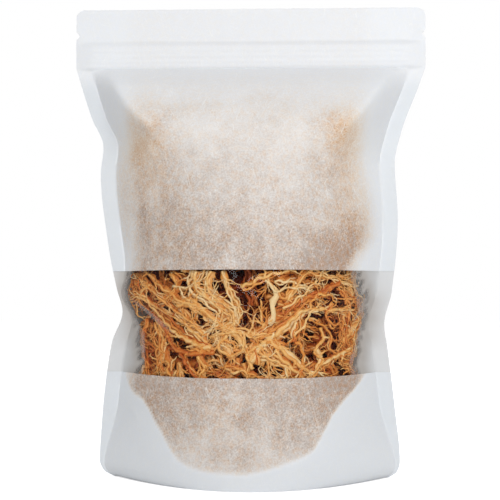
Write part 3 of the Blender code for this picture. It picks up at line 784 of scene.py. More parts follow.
def bundle(route, width, depth, shade, members, spread, twigs, fan):
    """Members along a route that part and meet again; the first one is the thick stem."""
    steps = len(route) - 1
    parts = steps // STRAND_STEPS
    step = sum(math.dist(a, b) for a, b in zip(route, route[1:])) / steps
    if members > 2:
        for piece in strand_parts(route):
            add_strand(piece, 2 * (depth + WEB_BEHIND,), 2 * (WEB_WIDTH * spread,),
                       shade - WEB_DARKER, False, flat=WEB_FLATNESS)
    for member in range(members):
        rate, phase = draw.uniform(*SWAYS), draw.uniform(0.0, math.tau)
        sway = spread if member else 0.0
        lean = draw.uniform(-LEAN, LEAN)
        kink, kink_phase = draw.uniform(*KINK_SWAY), draw.uniform(0.0, math.tau)
        kink_rate = math.tau * step / draw.uniform(*KINK_LENGTH)
        amounts = [sway * (lean + SWAY_SHARE * math.sin(phase + math.tau * rate * k / steps))
                   + kink * math.sin(kink_phase + kink_rate * k) for k in range(steps + 1)]
        line = side_step(route, amounts)
        own = width * (draw.uniform(*MEMBER_WIDTH) if member else 1.0)
        tone = vary_tone(shade, MEMBER_TONE)
        levels = [depth + (draw.uniform(0.0, MEMBER_BEHIND) * MM if member else 0.0)
                  for _ in range(parts + 1)]
        for part, piece in enumerate(strand_parts(line)):
            start, end = (own * (1.0 - THINNER_BY * at / parts) for at in (part, part + 1))
            add_strand(piece, (levels[part], levels[part + 1]), (start, end), tone,
                       part == parts - 1 and not fan)
            for _ in range(twigs):
                k = draw.randrange(1, STRAND_RINGS - 1)
                run = heading_of(piece[k - 1], piece[k + 1])
                frond(*piece[k], run + draw.choice((-1.0, 1.0)) * draw.uniform(*TWIG_ANGLE),
                      draw.uniform(*TWIG_LENGTH) * MM, start * draw.uniform(*TWIG_WIDTH),
                      levels[part], draw.choice((0, 0, 1)), TWIG_CURL, tone)
        run = heading_of(line[-2], line[-1])
        for way in range(fan):
            veer = FAN_ANGLE * (way - (fan - 1) / 2.0) + draw.gauss(0.0, FAN_SCATTER)
            frond(*line[-1], run + veer, draw.uniform(*FAN_LENGTH) * MM, end * FAN_WIDTH,
                  levels[-1], draw.choice((0, 1)), FAN_CURL, tone)


# %% [markdown]
# In the window the fronds lie in sweeps that the eye remembers: a golden swoosh left of the
# middle, a long stem that climbs to the right, a pale upright blade, curly ropes low on the
# right. These leading stems are given in millimetres from the pouch's middle and above the
# floor. Each one leads a bundle.

# %% Leading stems in the window
# shade, width, depth, members, spread, then the places along the stem
LEADING_STEMS = (
    (0.62, 3.0, 1.6, 4, 1.6, ((-40, 100), (-32, 101), (-26, 98), (-20, 94), (-11, 88), (2, 84))),
    (0.82, 1.9, 1.4, 2, 1.0, ((-24, 97), (-16, 91), (-6, 86), (3, 83))),
    (0.55, 2.6, 1.5, 4, 2.2, ((-20, 77), (-31, 80), (-41, 85), (-50, 93), (-60, 103))),
    (0.70, 2.0, 1.3, 3, 1.8, ((-22, 80), (-30, 86), (-39, 92), (-52, 98), (-64, 104))),
    (0.66, 1.9, 1.5, 3, 2.0, ((-24, 84), (-33, 92), (-43, 98), (-53, 106), (-60, 112))),
    (0.46, 2.9, 1.7, 3, 1.2, ((-18, 75), (-33, 74), (-43, 78), (-49, 88), (-58, 97))),
    (0.62, 1.8, 1.5, 3, 1.8, ((-36, 101), (-44, 107), (-52, 112), (-58, 118))),
    (0.74, 1.9, 1.3, 5, 3.0, ((-28, 119), (-29, 112), (-25, 106), (-18, 101), (-13, 96),
                              (-16, 90))),
    (0.86, 1.6, 1.2, 5, 3.0, ((-20, 119), (-22, 111), (-17, 104), (-9, 98), (-7, 91), (-13, 88))),
    (0.80, 1.5, 1.3, 3, 1.8, ((-13, 119), (-11, 111), (-7, 104), (-4, 96), (-7, 89))),
    (0.92, 1.8, 1.3, 2, 1.0, ((-42, 111), (-35, 110), (-28, 113))),
    (0.55, 2.4, 1.6, 3, 1.6, ((-38, 74), (-34, 68), (-29, 61))),
    (0.50, 2.4, 1.4, 3, 1.6, ((-60, 92), (-62, 80), (-59, 64))),
    (0.56, 1.8, 1.8, 3, 2.2, ((-55, 90), (-51, 82), (-53, 72), (-50, 62))),
    (0.66, 3.2, 1.4, 2, 1.2, ((1, 70), (8, 79), (15, 84), (23, 91), (31, 97), (40, 98), (51, 97))),
    (0.50, 2.2, 1.7, 3, 1.4, ((7, 82), (16, 88), (26, 95), (33, 102))),
    (0.76, 1.8, 1.2, 1, 0.0, ((26, 84), (32, 90), (34, 95), (39, 100))),
    (0.56, 2.4, 1.5, 3, 1.4, ((-3, 110), (5, 114), (14, 117), (24, 119))),
    (0.92, 1.6, 1.2, 2, 1.0, ((10, 114), (16, 108), (24, 110), (32, 109))),
    (0.88, 1.5, 1.3, 2, 1.0, ((15, 113), (23, 113), (31, 111))),
    (0.46, 3.0, 1.6, 3, 1.5, ((52, 113), (42, 107), (33, 104), (24, 99))),
    (0.72, 1.7, 1.3, 2, 1.2, ((20, 98), (28, 104), (35, 110), (42, 118))),
    (0.74, 1.7, 1.2, 3, 1.6, ((22, 103), (28, 112), (34, 119))),
    (0.70, 1.6, 1.6, 3, 1.6, ((34, 118), (42, 116), (51, 115))),
    (0.78, 1.6, 1.2, 2, 0.9, ((34, 98), (37, 104), (44, 106), (49, 102), (46, 97), (40, 98))),
    (0.46, 2.0, 1.6, 4, 1.8, ((53, 108), (58, 100), (57, 90), (56, 82), (59, 75))),
    (0.66, 1.9, 1.3, 2, 1.6, ((48, 101), (44, 95), (48, 89), (53, 91), (54, 85))),
    (0.72, 2.4, 1.3, 2, 1.4, ((28, 91), (26, 83), (30, 77), (31, 68), (28, 60))),
    (0.88, 2.6, 1.2, 1, 0.0, ((41, 88), (42, 81), (37, 75), (42, 70), (38, 65))),
    (0.84, 3.0, 1.2, 2, 1.2, ((11, 83), (19, 76), (27, 69), (34, 64))),
    (0.62, 2.1, 1.5, 3, 1.6, ((59, 76), (48, 71), (40, 67), (34, 61))),
    (0.70, 2.0, 1.4, 3, 1.8, ((8, 73), (16, 70), (22, 66), (20, 60))),
    (0.80, 2.2, 1.2, 2, 0.9, ((-11, 84), (-16, 78), (-9, 73), (-2, 77), (-4, 85), (-12, 85))),
    (0.74, 1.7, 1.4, 2, 1.0, ((-13, 82), (-7, 79), (-8, 74))),
    (0.58, 2.2, 1.6, 3, 1.8, ((-12, 68), (-4, 66), (5, 62))),
    (0.62, 2.2, 1.5, 3, 1.8, ((-27, 73), (-24, 66), (-27, 60))),
    (0.76, 2.2, 1.3, 2, 1.2, ((3, 66), (0, 73), (5, 78), (10, 74), (12, 66))),
    (0.68, 1.8, 1.4, 2, 1.3, ((34, 92), (40, 90), (47, 84), (46, 77), (52, 72))),
    (0.60, 1.8, 1.6, 3, 2.0, ((-57, 112), (-62, 107), (-66, 100))),
    (0.66, 1.9, 1.5, 3, 2.0, ((-44, 118), (-40, 112), (-44, 105), (-52, 101))),
)
LOOSE_STRANDS = (
    (0.70, 1.2, 1.6, 1, 0.0, ((48, 114), (57, 112), (62, 107), (67, 102))),
    (0.66, 1.1, 1.8, 2, 1.0, ((50, 109), (58, 106), (62, 101), (60, 92), (59, 86))),
    (0.78, 1.1, 1.4, 1, 0.0, ((60, 91), (63, 97), (66, 102), (67, 107))),
    (0.64, 1.0, 2.0, 2, 1.2, ((50, 117), (58, 114), (64, 110))),
    (0.60, 1.1, 2.4, 1, 0.0, ((49, 104), (56, 102), (61, 95))),
    (0.72, 1.0, 1.8, 1, 0.0, ((62, 118), (60, 112), (64, 105))),
    (0.74, 1.0, 1.5, 1, 0.0, ((52, 113), (60, 110), (64, 113))),
)
# Flattened blades: shade, width, depth, then the places; the deep dark ones are painted shade behind
# the stems
BLADES = (
    (0.98, 4.2, 1.4, ((12.0, 90), (14.8, 95), (13.6, 101), (16.4, 106), (14.5, 111))),
    (0.80, 6.0, 2.2, ((-18, 84), (-12, 78), (-8, 71))),
    (0.74, 5.2, 2.0, ((-14, 86), (-6, 84), (-2, 77))),
    (0.62, 4.4, 2.0, ((-37, 101), (-28, 99), (-19, 93))),
    (0.88, 4.0, 1.5, ((16, 79), (23, 74), (31, 67))),
    (0.86, 4.2, 1.5, ((38, 77), (41, 71), (38, 65))),
    (0.34, 8.0, 6.0, ((-26, 90), (-18, 84), (-8, 82))),
    (0.32, 7.0, 6.0, ((28, 106), (38, 101), (46, 99))),
    (0.30, 7.0, 6.0, ((40, 84), (48, 78), (52, 68))),
    (0.40, 6.0, 5.0, ((-50, 100), (-44, 95), (-36, 86))),
    (0.34, 8.0, 6.0, ((-46, 70), (-36, 68), (-22, 70))),
)
# Dark hollows between the stems: middle (x, z) and radius
DARK_HOLLOWS = (
    (3.0, 104.0, 5.0), (9.0, 88.5, 5.0), (-24.0, 88.0, 3.5), (-17.0, 116.0, 3.5),
    (45.0, 104.0, 4.5), (-33.0, 107.0, 3.0), (-47.0, 99.0, 2.5), (50.0, 83.0, 3.0),
    (-2.0, 116.0, 3.0), (23.0, 80.0, 2.0), (34.0, 101.5, 3.0),
)
BLADE_FLATNESS = 0.16
BLADE_END = 0.75


def in_hollow(x, z):
    return any(math.hypot(x - a * MM, z - b * MM) < c * MM for a, b, c in DARK_HOLLOWS)


def smooth_route(places, count):
    """Evenly shared places along a round curve through a few hand-placed ones, in metres."""
    given = [Vector((a * MM, b * MM)) for a, b in places]
    given = [2.0 * given[0] - given[1]] + given + [2.0 * given[-1] - given[-2]]
    made = []
    for k in range(count):
        at = (len(given) - 3) * k / (count - 1)
        i = min(int(at), len(given) - 4)
        t = at - i
        a, b, c, d = given[i:i + 4]
        spot = 0.5 * (2.0 * b + (c - a) * t + (2.0 * a - 5.0 * b + 4.0 * c - d) * t * t
                      + (3.0 * b - a - 3.0 * c + d) * t ** 3)
        made.append((spot.x, spot.y))
    return made


for stems, twigs, fan in ((LEADING_STEMS, 1, 2), (LOOSE_STRANDS, 0, 0)):
    for shade, width, depth, members, spread, places in stems:
        route = smooth_route(places, (len(places) - 1) * STRAND_STEPS + 1)
        bundle(route, width * MM, depth * MM, shade, members, spread * MM, twigs, fan)
for shade, width, depth, places in BLADES:
    add_strand(smooth_route(places, STRAND_RINGS), (depth * MM, depth * MM),
               (width * MM, BLADE_END * width * MM), shade, True, flat=BLADE_FLATNESS)
print("strands of the leading stems:", len(strands))

# %% [markdown]
# Between and behind the leading stems the window is packed with more bundles. They run the same
# way as the stem that is nearest, with some scatter, which is what turns a heap of lines into
# sweeps. They lie in layers: each one deeper than the one before it, and painted darker and
# redder, as painted shade inside the heap.

# %% Bundles between and behind the stems
# number of bundles, depth range, width range, shade, scatter, kept out of the hollows
# the shade falls with depth, as painted shade inside the heap
WINDOW_LAYERS = (
    (28, (1.5, 3.0), (1.9, 2.8), 0.66, 0.30, True),
    (44, (3.0, 6.0), (2.2, 3.2), 0.54, 0.45, True),
    (40, (6.0, 10.0), (2.4, 3.6), 0.40, 0.70, False),
    (14, (10.0, 13.0), (3.0, 4.2), 0.30, 1.20, False),
)
WINDOW_MARGIN = 9.0 * MM
STEM_SAMPLES = 12
LAYER_LENGTH, LAYER_CURL, LAYER_TONE, LAYER_SPREAD = (16.0, 30.0), 50.0, 0.06, (1.4, 2.8)


def place_tree(places):
    """A tree that finds the nearest of these places."""
    made = kdtree.KDTree(len(places))
    for number, place in enumerate(places):
        made.insert(place, number)
    made.balance()
    return made


def flow(x, z, scatter):
    """A heading along the nearest leading stem, either way, with some scatter."""
    angle = stem_headings[stem_tree.find((x, z, 0.0))[1]]
    return angle + draw.choice((0.0, math.pi)) + draw.gauss(0.0, scatter)


def root_place(low, high):
    """A chance place among the moss, between two heights."""
    z = draw.uniform(low, high)
    x = draw.uniform(-1.0, 1.0)
    return x * float(moss_reach(x, z)), z


stem_routes = [smooth_route(places, STEM_SAMPLES) for *_, places in LEADING_STEMS]
stem_steps = [pair for route in stem_routes for pair in zip(route, route[1:])]
stem_headings = [heading_of(before, after) for before, after in stem_steps]
stem_tree = place_tree([((a[0] + b[0]) / 2.0, (a[1] + b[1]) / 2.0, 0.0) for a, b in stem_steps])
for count, depths, widths, shade, scatter, keep_out in WINDOW_LAYERS:
    for _ in range(count):
        x, z = root_place(WINDOW_LOW - WINDOW_MARGIN, WINDOW_HIGH + WINDOW_MARGIN)
        if keep_out and in_hollow(x, z):
            continue
        route, _ = run_line(x, z, flow(x, z, scatter), draw.uniform(*LAYER_LENGTH) * MM,
                            LAYER_CURL, 2)
        bundle(route, draw.uniform(*widths) * MM, draw.uniform(*depths) * MM,
               shade + draw.gauss(0.0, LAYER_TONE), draw.choice((3, 4, 5)),
               draw.uniform(*LAYER_SPREAD) * MM, draw.choice((0, 1, 1)), 2)
print("strands in and behind the window:", len(strands))

# %% [markdown]
# Above and below the window, and along the back, paper hides the moss, and only its tint shows.
# The fronds there are fewer and plainer, but they fill the pouch, so it is as full as it looks.

# %% Fronds behind the paper
# side, number of fronds, lowest and highest root
HIDDEN_LAYERS = ((-1, 62, 0.128, 0.208), (-1, 22, 0.024, 0.056), (1, 84, 0.022, 0.205))
HIDDEN_LENGTH, HIDDEN_WIDTH, HIDDEN_DEPTH = (10.0, 17.0), (1.8, 2.8), (1.5, 10.0)
HIDDEN_CURL, HIDDEN_TONE = 45.0, (0.35, 0.7)
for side, count, low, high in HIDDEN_LAYERS:
    for _ in range(count):
        frond(*root_place(low, high), draw.uniform(0.0, math.tau),
              draw.uniform(*HIDDEN_LENGTH) * MM, draw.uniform(*HIDDEN_WIDTH) * MM,
              draw.uniform(*HIDDEN_DEPTH) * MM, 2, HIDDEN_CURL, draw.uniform(*HIDDEN_TONE), side,
              False)
print("strands in all:", len(strands))

# %% [markdown]
# One strand is modelled once, as a cylinder cut into rings whose ends are drawn to points. It is
# then copied along every line: its rings are set across the line, wide along the film and thin
# towards it, so the strands lie flat as they do when they are pressed and dry. A bevelled curve
# would be quicker to draw, but its section turns as it likes and wouldn't lie flat.

# %% The pattern strand
def strand_pattern(sides, rings):
    """Faces and vertices of a closed tube: ring number and turn of each vertex."""
    deselect_all()
    bpy.ops.mesh.primitive_cylinder_add(vertices=sides, radius=1.0, depth=1.0,
                                        end_fill_type='TRIFAN')
    tube = bpy.context.object
    bpy.ops.object.mode_set(mode='EDIT')
    bpy.ops.mesh.select_mode(type='EDGE')
    bpy.ops.mesh.select_all(action='DESELECT')
    bpy.ops.object.mode_set(mode='OBJECT')
    points = get_points(tube)
    for edge in tube.data.edges:
        a, b = edge.vertices
        edge.select = bool(abs(points[a][2] - points[b][2]) > 0.5)
    bpy.ops.object.mode_set(mode='EDIT')
    bpy.ops.mesh.subdivide(number_cuts=rings - 2)
    bpy.ops.mesh.select_all(action='SELECT')
    bpy.ops.mesh.quads_convert_to_tris(quad_method='BEAUTY')
    bpy.ops.mesh.normals_make_consistent(inside=False)
    bpy.ops.object.mode_set(mode='OBJECT')
    points = get_points(tube)
    ring = np.rint((points[:, 2] + 0.5) * (rings - 1)).astype(int)
    radius = np.hypot(points[:, 0], points[:, 1])
    turn = np.arctan2(points[:, 1], points[:, 0])
    faces = np.array([list(face.vertices) for face in tube.data.polygons])
    bpy.data.objects.remove(tube)
    return {"ring": ring, "radius": radius, "turn": turn, "faces": faces}


fine_pattern = strand_pattern(6, STRAND_RINGS)
plain_pattern = strand_pattern(4, STRAND_RINGS)
print("triangles of a fine and a plain strand:", len(fine_pattern["faces"]),
      len(plain_pattern["faces"]))

# %% [markdown]
# All lines are turned into places in the pouch at once, because numpy is quick with long lists
# and slow with many short ones. The film's own slope says which way is outwards.

# %% Strands as meshes
FILM_GAP = 0.7 * MM
FILM_GAP_OF_HALF = 0.6
STRAND_REACH = 0.965
SLOPE_STEP = 0.5 * MM
DEPTH_WAVE, DEPTH_WAVES, ANY_PHASE = 0.45 * MM, 7.0, 6.3
SIDE_WAVE = 0.30 * MM
WIDTH_WAVE = 0.38
TIP_SHARE = 0.35
ROLL, ROLLS_ABOVE = 0.6, 0.3
# depth behind the film at which the painted shade of deep strands is full
FULL_SHADE_DEPTH = 16.0 * MM


def unit(arrows):
    return arrows / (np.linalg.norm(arrows, axis=-1, keepdims=True) + 1e-9)


def film_frame(x, z, side):
    """Depth of the film's inner face at (x, z), and its outward direction."""
    deep = stand_out(column_at(x, z), z, side)
    slope_x = (stand_out(column_at(x + SLOPE_STEP, z), z, side) - deep) / SLOPE_STEP
    slope_z = (stand_out(column_at(x, z + SLOPE_STEP), z + SLOPE_STEP, side) - deep) / SLOPE_STEP
    return deep, unit(np.stack([-slope_x, np.full_like(deep, float(side)), -slope_z], axis=-1))


def pulled_in(x, z, reach):
    """x, drawn back towards the middle where it lies beyond this column."""
    return x * (reach / np.maximum(np.abs(column_at(x, z)), reach))


def store_facts(mesh, name, facts):
    """Stores four numbers per vertex under this name."""
    layer = mesh.color_attributes.new(name, 'FLOAT_COLOR', 'POINT')
    layer.data.foreach_set("color", np.asarray(facts, dtype=np.float32).ravel())


def strand_mesh(name, chosen, pattern, seed):
    """One mesh of many strands, with each one's colour facts in the attribute 'growth'."""
    places, depths, widths, shade, flat, tip = (
        np.array([strand[key] for strand in chosen])
        for key in ("places", "depth", "width", "shade", "flat", "tip"))
    side, flat = chosen[0]["side"], flat[:, None]
    z = places[..., 1]
    x = pulled_in(places[..., 0], z, STRAND_REACH)
    count, rings = x.shape
    share = np.linspace(0.0, 1.0, rings)[None, :]
    free = np.sin(np.pi * share)
    chance = np.random.default_rng(seed)
    depth, half = (ends[:, :1] + (ends[:, 1:] - ends[:, :1]) * share
                   for ends in (depths, 0.5 * widths))
    phase = chance.uniform(0.0, ANY_PHASE, (count, 1))
    depth += DEPTH_WAVE * free * np.sin(phase + share * DEPTH_WAVES)
    half *= 1.0 + WIDTH_WAVE * free * chance.uniform(-1.0, 1.0, (count, rings))
    half[tip, -1] *= TIP_SHARE
    depth = np.maximum(depth, FILM_GAP + FILM_GAP_OF_HALF * half)
    deep, out = film_frame(x.ravel(), z.ravel(), side)
    out = out.reshape(count, rings, 3)
    middle = np.stack([x, side * deep.reshape(count, rings), z], axis=-1) - out * depth[..., None]
    along = unit(np.gradient(middle, axis=1))
    across = unit(np.cross(along, out))
    up = np.cross(across, along)
    sway = SIDE_WAVE * free * chance.uniform(-1.0, 1.0, (count, rings))
    middle = middle + across * sway[..., None]
    roll = (chance.normal(0.0, ROLL, (count, 1)) * free * (flat > ROLLS_ABOVE))[..., None]
    wide = across * np.cos(roll) + up * np.sin(roll)
    thin = up * np.cos(roll) - across * np.sin(roll)
    ring, turn = pattern["ring"], pattern["turn"]
    size = half[:, ring] * pattern["radius"]
    points = middle[:, ring] + wide[:, ring] * (np.cos(turn) * size)[..., None]
    points += thin[:, ring] * (np.sin(turn) * size * flat)[..., None]
    # rim is 1 at a strand's thin edges, which the material paints redder as painted light through
    # them
    rim = np.abs(np.cos(turn)) * pattern["radius"]
    # painted shade: the deeper a strand lies behind the film, the darker and redder the material
    # paints it
    depth_shade = np.clip(depth[:, ring] / FULL_SHADE_DEPTH, 0.0, 1.0)
    growth = np.stack(np.broadcast_arrays(shade[:, None], depth_shade, rim, 1.0), axis=-1)
    faces = (pattern["faces"][None] + (np.arange(count) * len(turn))[:, None, None]).reshape(-1, 3)
    mesh = bpy.data.meshes.new(name)
    mesh.vertices.add(points.shape[0] * points.shape[1])
    mesh.vertices.foreach_set("co", points.astype(np.float32).ravel())
    mesh.loops.add(3 * len(faces))
    mesh.loops.foreach_set("vertex_index", faces.astype(np.int32).ravel())
    mesh.polygons.add(len(faces))
    mesh.polygons.foreach_set("loop_start", np.arange(0, 3 * len(faces), 3, dtype=np.int32))
    mesh.update(calc_edges=True)
    mesh.shade_smooth()
    store_facts(mesh, "growth", growth)
    piece = bpy.data.objects.new(name, mesh)
    bpy.context.collection.objects.link(piece)
    return piece


# %% [markdown]
# The frame has 14 clumps of moss. Each strand goes to the clump whose room it starts in, and a
# core stands for the matted inside of the clump. Its dark colour is painted shade, since the
# inside only shows as depth between the strands.

# %% Clumps of moss
clump_names = sorted(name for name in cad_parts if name.startswith("moss_clump"))
clump_middles = np.array([[sum(pair) / 2.0 for pair in zip(*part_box(name))] for name in clump_names])
CORE_RADII = (0.034, 0.036, 0.027)
CORE_COLUMN = 0.82
CORE_LOW, CORE_HIGH = 16.0 * MM, 200.0 * MM
CORE_DEPTH, CORE_THIN = 12.0 * MM, 0.5 * MM
CORE_SWELL, CORE_SWELL_RATE, CORE_SHIFT = 0.2, 2.1, 90.0
CORE_RIPPLE, CORE_RIPPLE_RATE = 7.0 * MM, 150.0
# shade, painted depth shade, edge, and 0 for a core: the core takes the full painted shade
CORE_FACTS = (0.30, 0.95, 0.3, 0.0)
FIRST_SEED = 100


def nearest_clump(strand):
    x, z = strand["places"][0]
    return int(np.argmin((clump_middles[:, 0] - x) ** 2 + (clump_middles[:, 2] - z) ** 2))


def clump_core(name, middle):
    """A lumpy ball of matted strands in a dark colour of painted shade, kept well behind the film."""
    deselect_all()
    bpy.ops.mesh.primitive_ico_sphere_add(subdivisions=5, radius=1.0)
    core = bpy.context.object
    core.name = name
    ball = get_points(core)
    shift = Vector(middle) * CORE_SHIFT
    swell = np.array([noise.noise(Vector(p) * CORE_SWELL_RATE + shift) for p in ball])
    points = middle + ball * np.array(CORE_RADII) * (1.0 + CORE_SWELL * swell)[:, None]
    points[:, 2] = np.clip(points[:, 2], CORE_LOW, CORE_HIGH)
    points[:, 0] = pulled_in(points[:, 0], points[:, 2], CORE_COLUMN)
    column = column_at(points[:, 0], points[:, 2])
    for side in (-1, 1):
        ripple = np.array([abs(noise.noise(Vector(p) * CORE_RIPPLE_RATE)) for p in points])
        deep = stand_out(column, points[:, 2], side) - CORE_DEPTH - CORE_RIPPLE * ripple
        points[:, 1] = side * np.minimum(side * points[:, 1], np.maximum(deep, CORE_THIN))
    set_points(core, points)
    bpy.ops.object.shade_smooth()
    store_facts(core.data, "growth", np.tile(CORE_FACTS, len(points)))
    return core


owners = [nearest_clump(strand) for strand in strands]
moss_pieces = []
for number, name in enumerate(clump_names):
    own = [strand for strand, owner in zip(strands, owners) if owner == number]
    parts = [clump_core(name + "_core", clump_middles[number])]
    for side in (-1, 1):
        for fine, pattern in ((True, fine_pattern), (False, plain_pattern)):
            chosen = [s for s in own if s["side"] == side and s["fine"] == fine]
            if chosen:
                parts.append(strand_mesh(name + "_strands", chosen, pattern, FIRST_SEED + number))
    deselect_all()
    for part in parts:
        part.select_set(True)
    bpy.context.view_layer.objects.active = parts[0]
    bpy.ops.object.join()
    piece = bpy.context.object
    piece.name = name.replace("clump", "fronds")
    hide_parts(name)
    moss_pieces.append(piece)
print("triangles of the moss:", sum(len(piece.data.polygons) for piece in moss_pieces))

# %% [markdown]
# Dried sea moss is a tough, horny weed. Its colour runs from cream on bleached strands through gold
# to red-brown, a chance tone for each strand. Deeper strands are painted darker and redder, as
# painted shade inside the heap. The thin edges of a strand are painted redder than its flat middle,
# as painted light through the edges, which leaves a lighter, highlit middle. It is nearly matte,
# with a faint horny sheen.

# %% Dried moss
MOTTLE_SHARE = 0.5
# how much redder the thin edges are painted, as painted light, leaving a highlit middle
RIM_PAINTED_LIGHT = 0.22
TONE_DROP = 0.16

moss_finish, tree = new_material("dried_sea_moss")
shade, depth_shade, rim, is_strand = stored_facts(tree, "growth")
spot = add_node(tree, "TexCoord").outputs["Object"]
mottle = add_node(tree, "TexNoise", Vector=spot, Scale=260.0, Detail=3.0)
tone = maths(tree, 'MULTIPLY_ADD', mottle, MOTTLE_SHARE, shade)
tone = maths(tree, 'MULTIPLY_ADD', rim, -RIM_PAINTED_LIGHT, tone)
tone = maths(tree, 'SUBTRACT', tone, TONE_DROP)
ramp = colour_ramp(tree, tone, ((0.0, "#93380a"), (0.30, "#d26b22"), (0.55, "#f0a047"),
                                (0.78, "#fdc678"), (1.0, "#ffdfa8")))
# painted shade: deep strands are multiplied darker and redder
depth_shade_tint = mix_colours(tree, depth_shade, ramp.outputs["Color"], linear("#b0592a"), 'MULTIPLY')
grain = add_node(tree, "TexNoise", Vector=spot, Scale=1400.0, Detail=2.0)
bump = add_node(tree, "Bump", Strength=0.35, Distance=0.15 * MM, Height=grain)
# painted shade: cores are nearly black-brown, with lighter matted lines between dark gaps
matted = add_node(tree, "TexNoise", Vector=spot, Scale=330.0, Detail=3.0, Distortion=1.6)
matted_lines_and_shade = add_node(tree, "MapRange", Value=matted, From_Min=0.35, From_Max=0.62, To_Min=0.25,
                        To_Max=1.0)
core_lines_and_shade = add_node(tree, "Mix", {"data_type": 'FLOAT'}, Factor=is_strand, A=matted_lines_and_shade, B=1.0)
core_bump = add_node(tree, "Bump", Strength=1.0, Distance=1.5 * MM, Height=core_lines_and_shade, Normal=bump)
surface = add_node(tree, "BsdfPrincipled", Roughness=0.5, Specular_IOR_Level=0.35, Normal=core_bump,
                   Base_Color=mix_colours(tree, core_lines_and_shade, linear("#38140a"), depth_shade_tint))
add_node(tree, "OutputMaterial", Surface=surface)
for piece in moss_pieces:
    piece.data.materials.clear()
    piece.data.materials.append(moss_finish)
    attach(piece, "root")

# %% [markdown]
# The paper shows what touches it from inside: moss pressed against it darkens and warms it, and
# where the pouch stands away from the moss it stays white. So each corner of the paper's mesh
# measures how near the closest strand is, and keeps that as an attribute for the material. The
# same attribute also carries painted light: painted shade on the left cheek of the paper, and on
# the film a painted highlight along two folds.

# %% Nearness of the moss
# height, then how closely the moss fills the pouch there: in its middle, and at its two sides
FULL_IN_MIDDLE = ((0.0, 0.70), (0.06, 0.92), (0.125, 0.95), (0.150, 0.80), (0.175, 0.60),
                  (0.205, 0.40), (0.225, 0.25), (0.236, 0.10))
FULL_AT_SIDES = ((0.0, 0.85), (0.06, 1.0), (0.125, 1.0), (0.165, 0.92), (0.198, 0.72),
                 (0.214, 0.32), (0.235, 0.10))
# Warm places: middle (x, z), reach, and how much warmer
WARM_PLACES = (
    (-0.0660, 0.1920, 0.0130, 0.70), (-0.0540, 0.1880, 0.0080, 0.45),
    (0.0570, 0.1940, 0.0130, 0.85), (-0.0560, 0.1700, 0.0140, 0.25),
    (0.0600, 0.1720, 0.0130, 0.35), (-0.0380, 0.1350, 0.0160, 0.12),
    (0.0500, 0.1350, 0.0160, 0.15), (0.0620, 0.1500, 0.0120, 0.25),
    (-0.0150, 0.0420, 0.0200, 0.15),
)
# Places where the paper's tint is made weaker, or stronger where the last number is below 0
STAIN_CHANGES = (
    (0.0500, 0.1570, 0.0180, 0.28), (-0.0500, 0.1280, 0.0130, 0.15),
    (0.0500, 0.1260, 0.0150, -0.40), (0.0500, 0.0530, 0.0130, -0.30),
)
# The left cheek of the belly, darkened to grey as painted shade: middle (x, z), reach sideways and
# upwards, then how dark; and the left shoulder, where the moss reaches out as far as this
CHEEK_PAINTED_SHADE, CHEEK_SHADE_AMOUNT = (-0.0700, 0.1610, 0.0110, 0.0300), 0.46
SHOULDER_MIDDLE, SHOULDER_SPAN, SHOULDER_ROOM = 0.192, 0.016, 7.0 * MM
# The moss ends here above the gusset's corners: distance from the middle, then height
LEFT_LOWEST = ((0.000, 0.0088), (0.0207, 0.0096), (0.0364, 0.0141), (0.0487, 0.0309),
               (0.0600, 0.0470), (0.0660, 0.0500), (0.0750, 0.0640))
RIGHT_LOWEST = ((0.000, 0.0088), (0.0163, 0.0130), (0.0343, 0.0200), (0.0477, 0.0410),
                (0.0640, 0.0578), (0.0750, 0.0720))
LOW_ROOM, LOW_ROOM_OUT = 9.0 * MM, (WINDOW_LOW, WINDOW_LOW + 25.0 * MM)
LOWEST_FADE = (-1.0 * MM, 2.5 * MM)
SIDES_FROM = (0.40, 0.75)
PAPER_REACH, FILM_REACH, HAZE_AND_LIGHT_REACH = 6.0 * MM, 3.0 * MM, 9.0 * MM
PAPER_FADE, FILM_FADE = (-5.0 * MM, 13.0 * MM), (-1.0 * MM, 4.0 * MM)
PAPER_CONTACT, FILM_CONTACT, FILM_NEAR, FOLD_HIGHLIGHT = 0.60, 0.72, (0.35, 0.80), 0.55
LEAST_WARMTH, SIDE_WARMTH, WARM_FROM = 0.08, 0.13, (0.35, 0.75)
SEAL_FADE, GUSSET_FADE, GUSSET_SEALED = (0.0, 1.2 * MM), (-2.0 * MM, 0.0), 0.5
near_tree = place_tree(np.concatenate([get_points(piece)[::3] for piece in moss_pieces]))


def above_gusset(x, z):
    """Height above the line where the sealed gusset keeps the moss away from the sheet."""
    return z - follow_side(x, LEFT_LOWEST, RIGHT_LOWEST, np.abs(x))


def filled(x, z, fade, low_room):
    """1 where the pouch is full to the sheet, 0 at its sides, its corners and its top."""
    room = moss_reach(x, z) + low_room * (1.0 - smooth_step(*LOW_ROOM_OUT, z))
    room += SHOULDER_ROOM * (x < 0.0) * np.exp(-((z - SHOULDER_MIDDLE) / SHOULDER_SPAN) ** 2)
    full = smooth_step(*fade, room - np.abs(x)) * smooth_step(*LOWEST_FADE, above_gusset(x, z))
    middle, sides = follow(FULL_IN_MIDDLE, z), follow(FULL_AT_SIDES, z)
    return full * (middle + (sides - middle) * smooth_step(*SIDES_FROM, np.abs(x) / room))


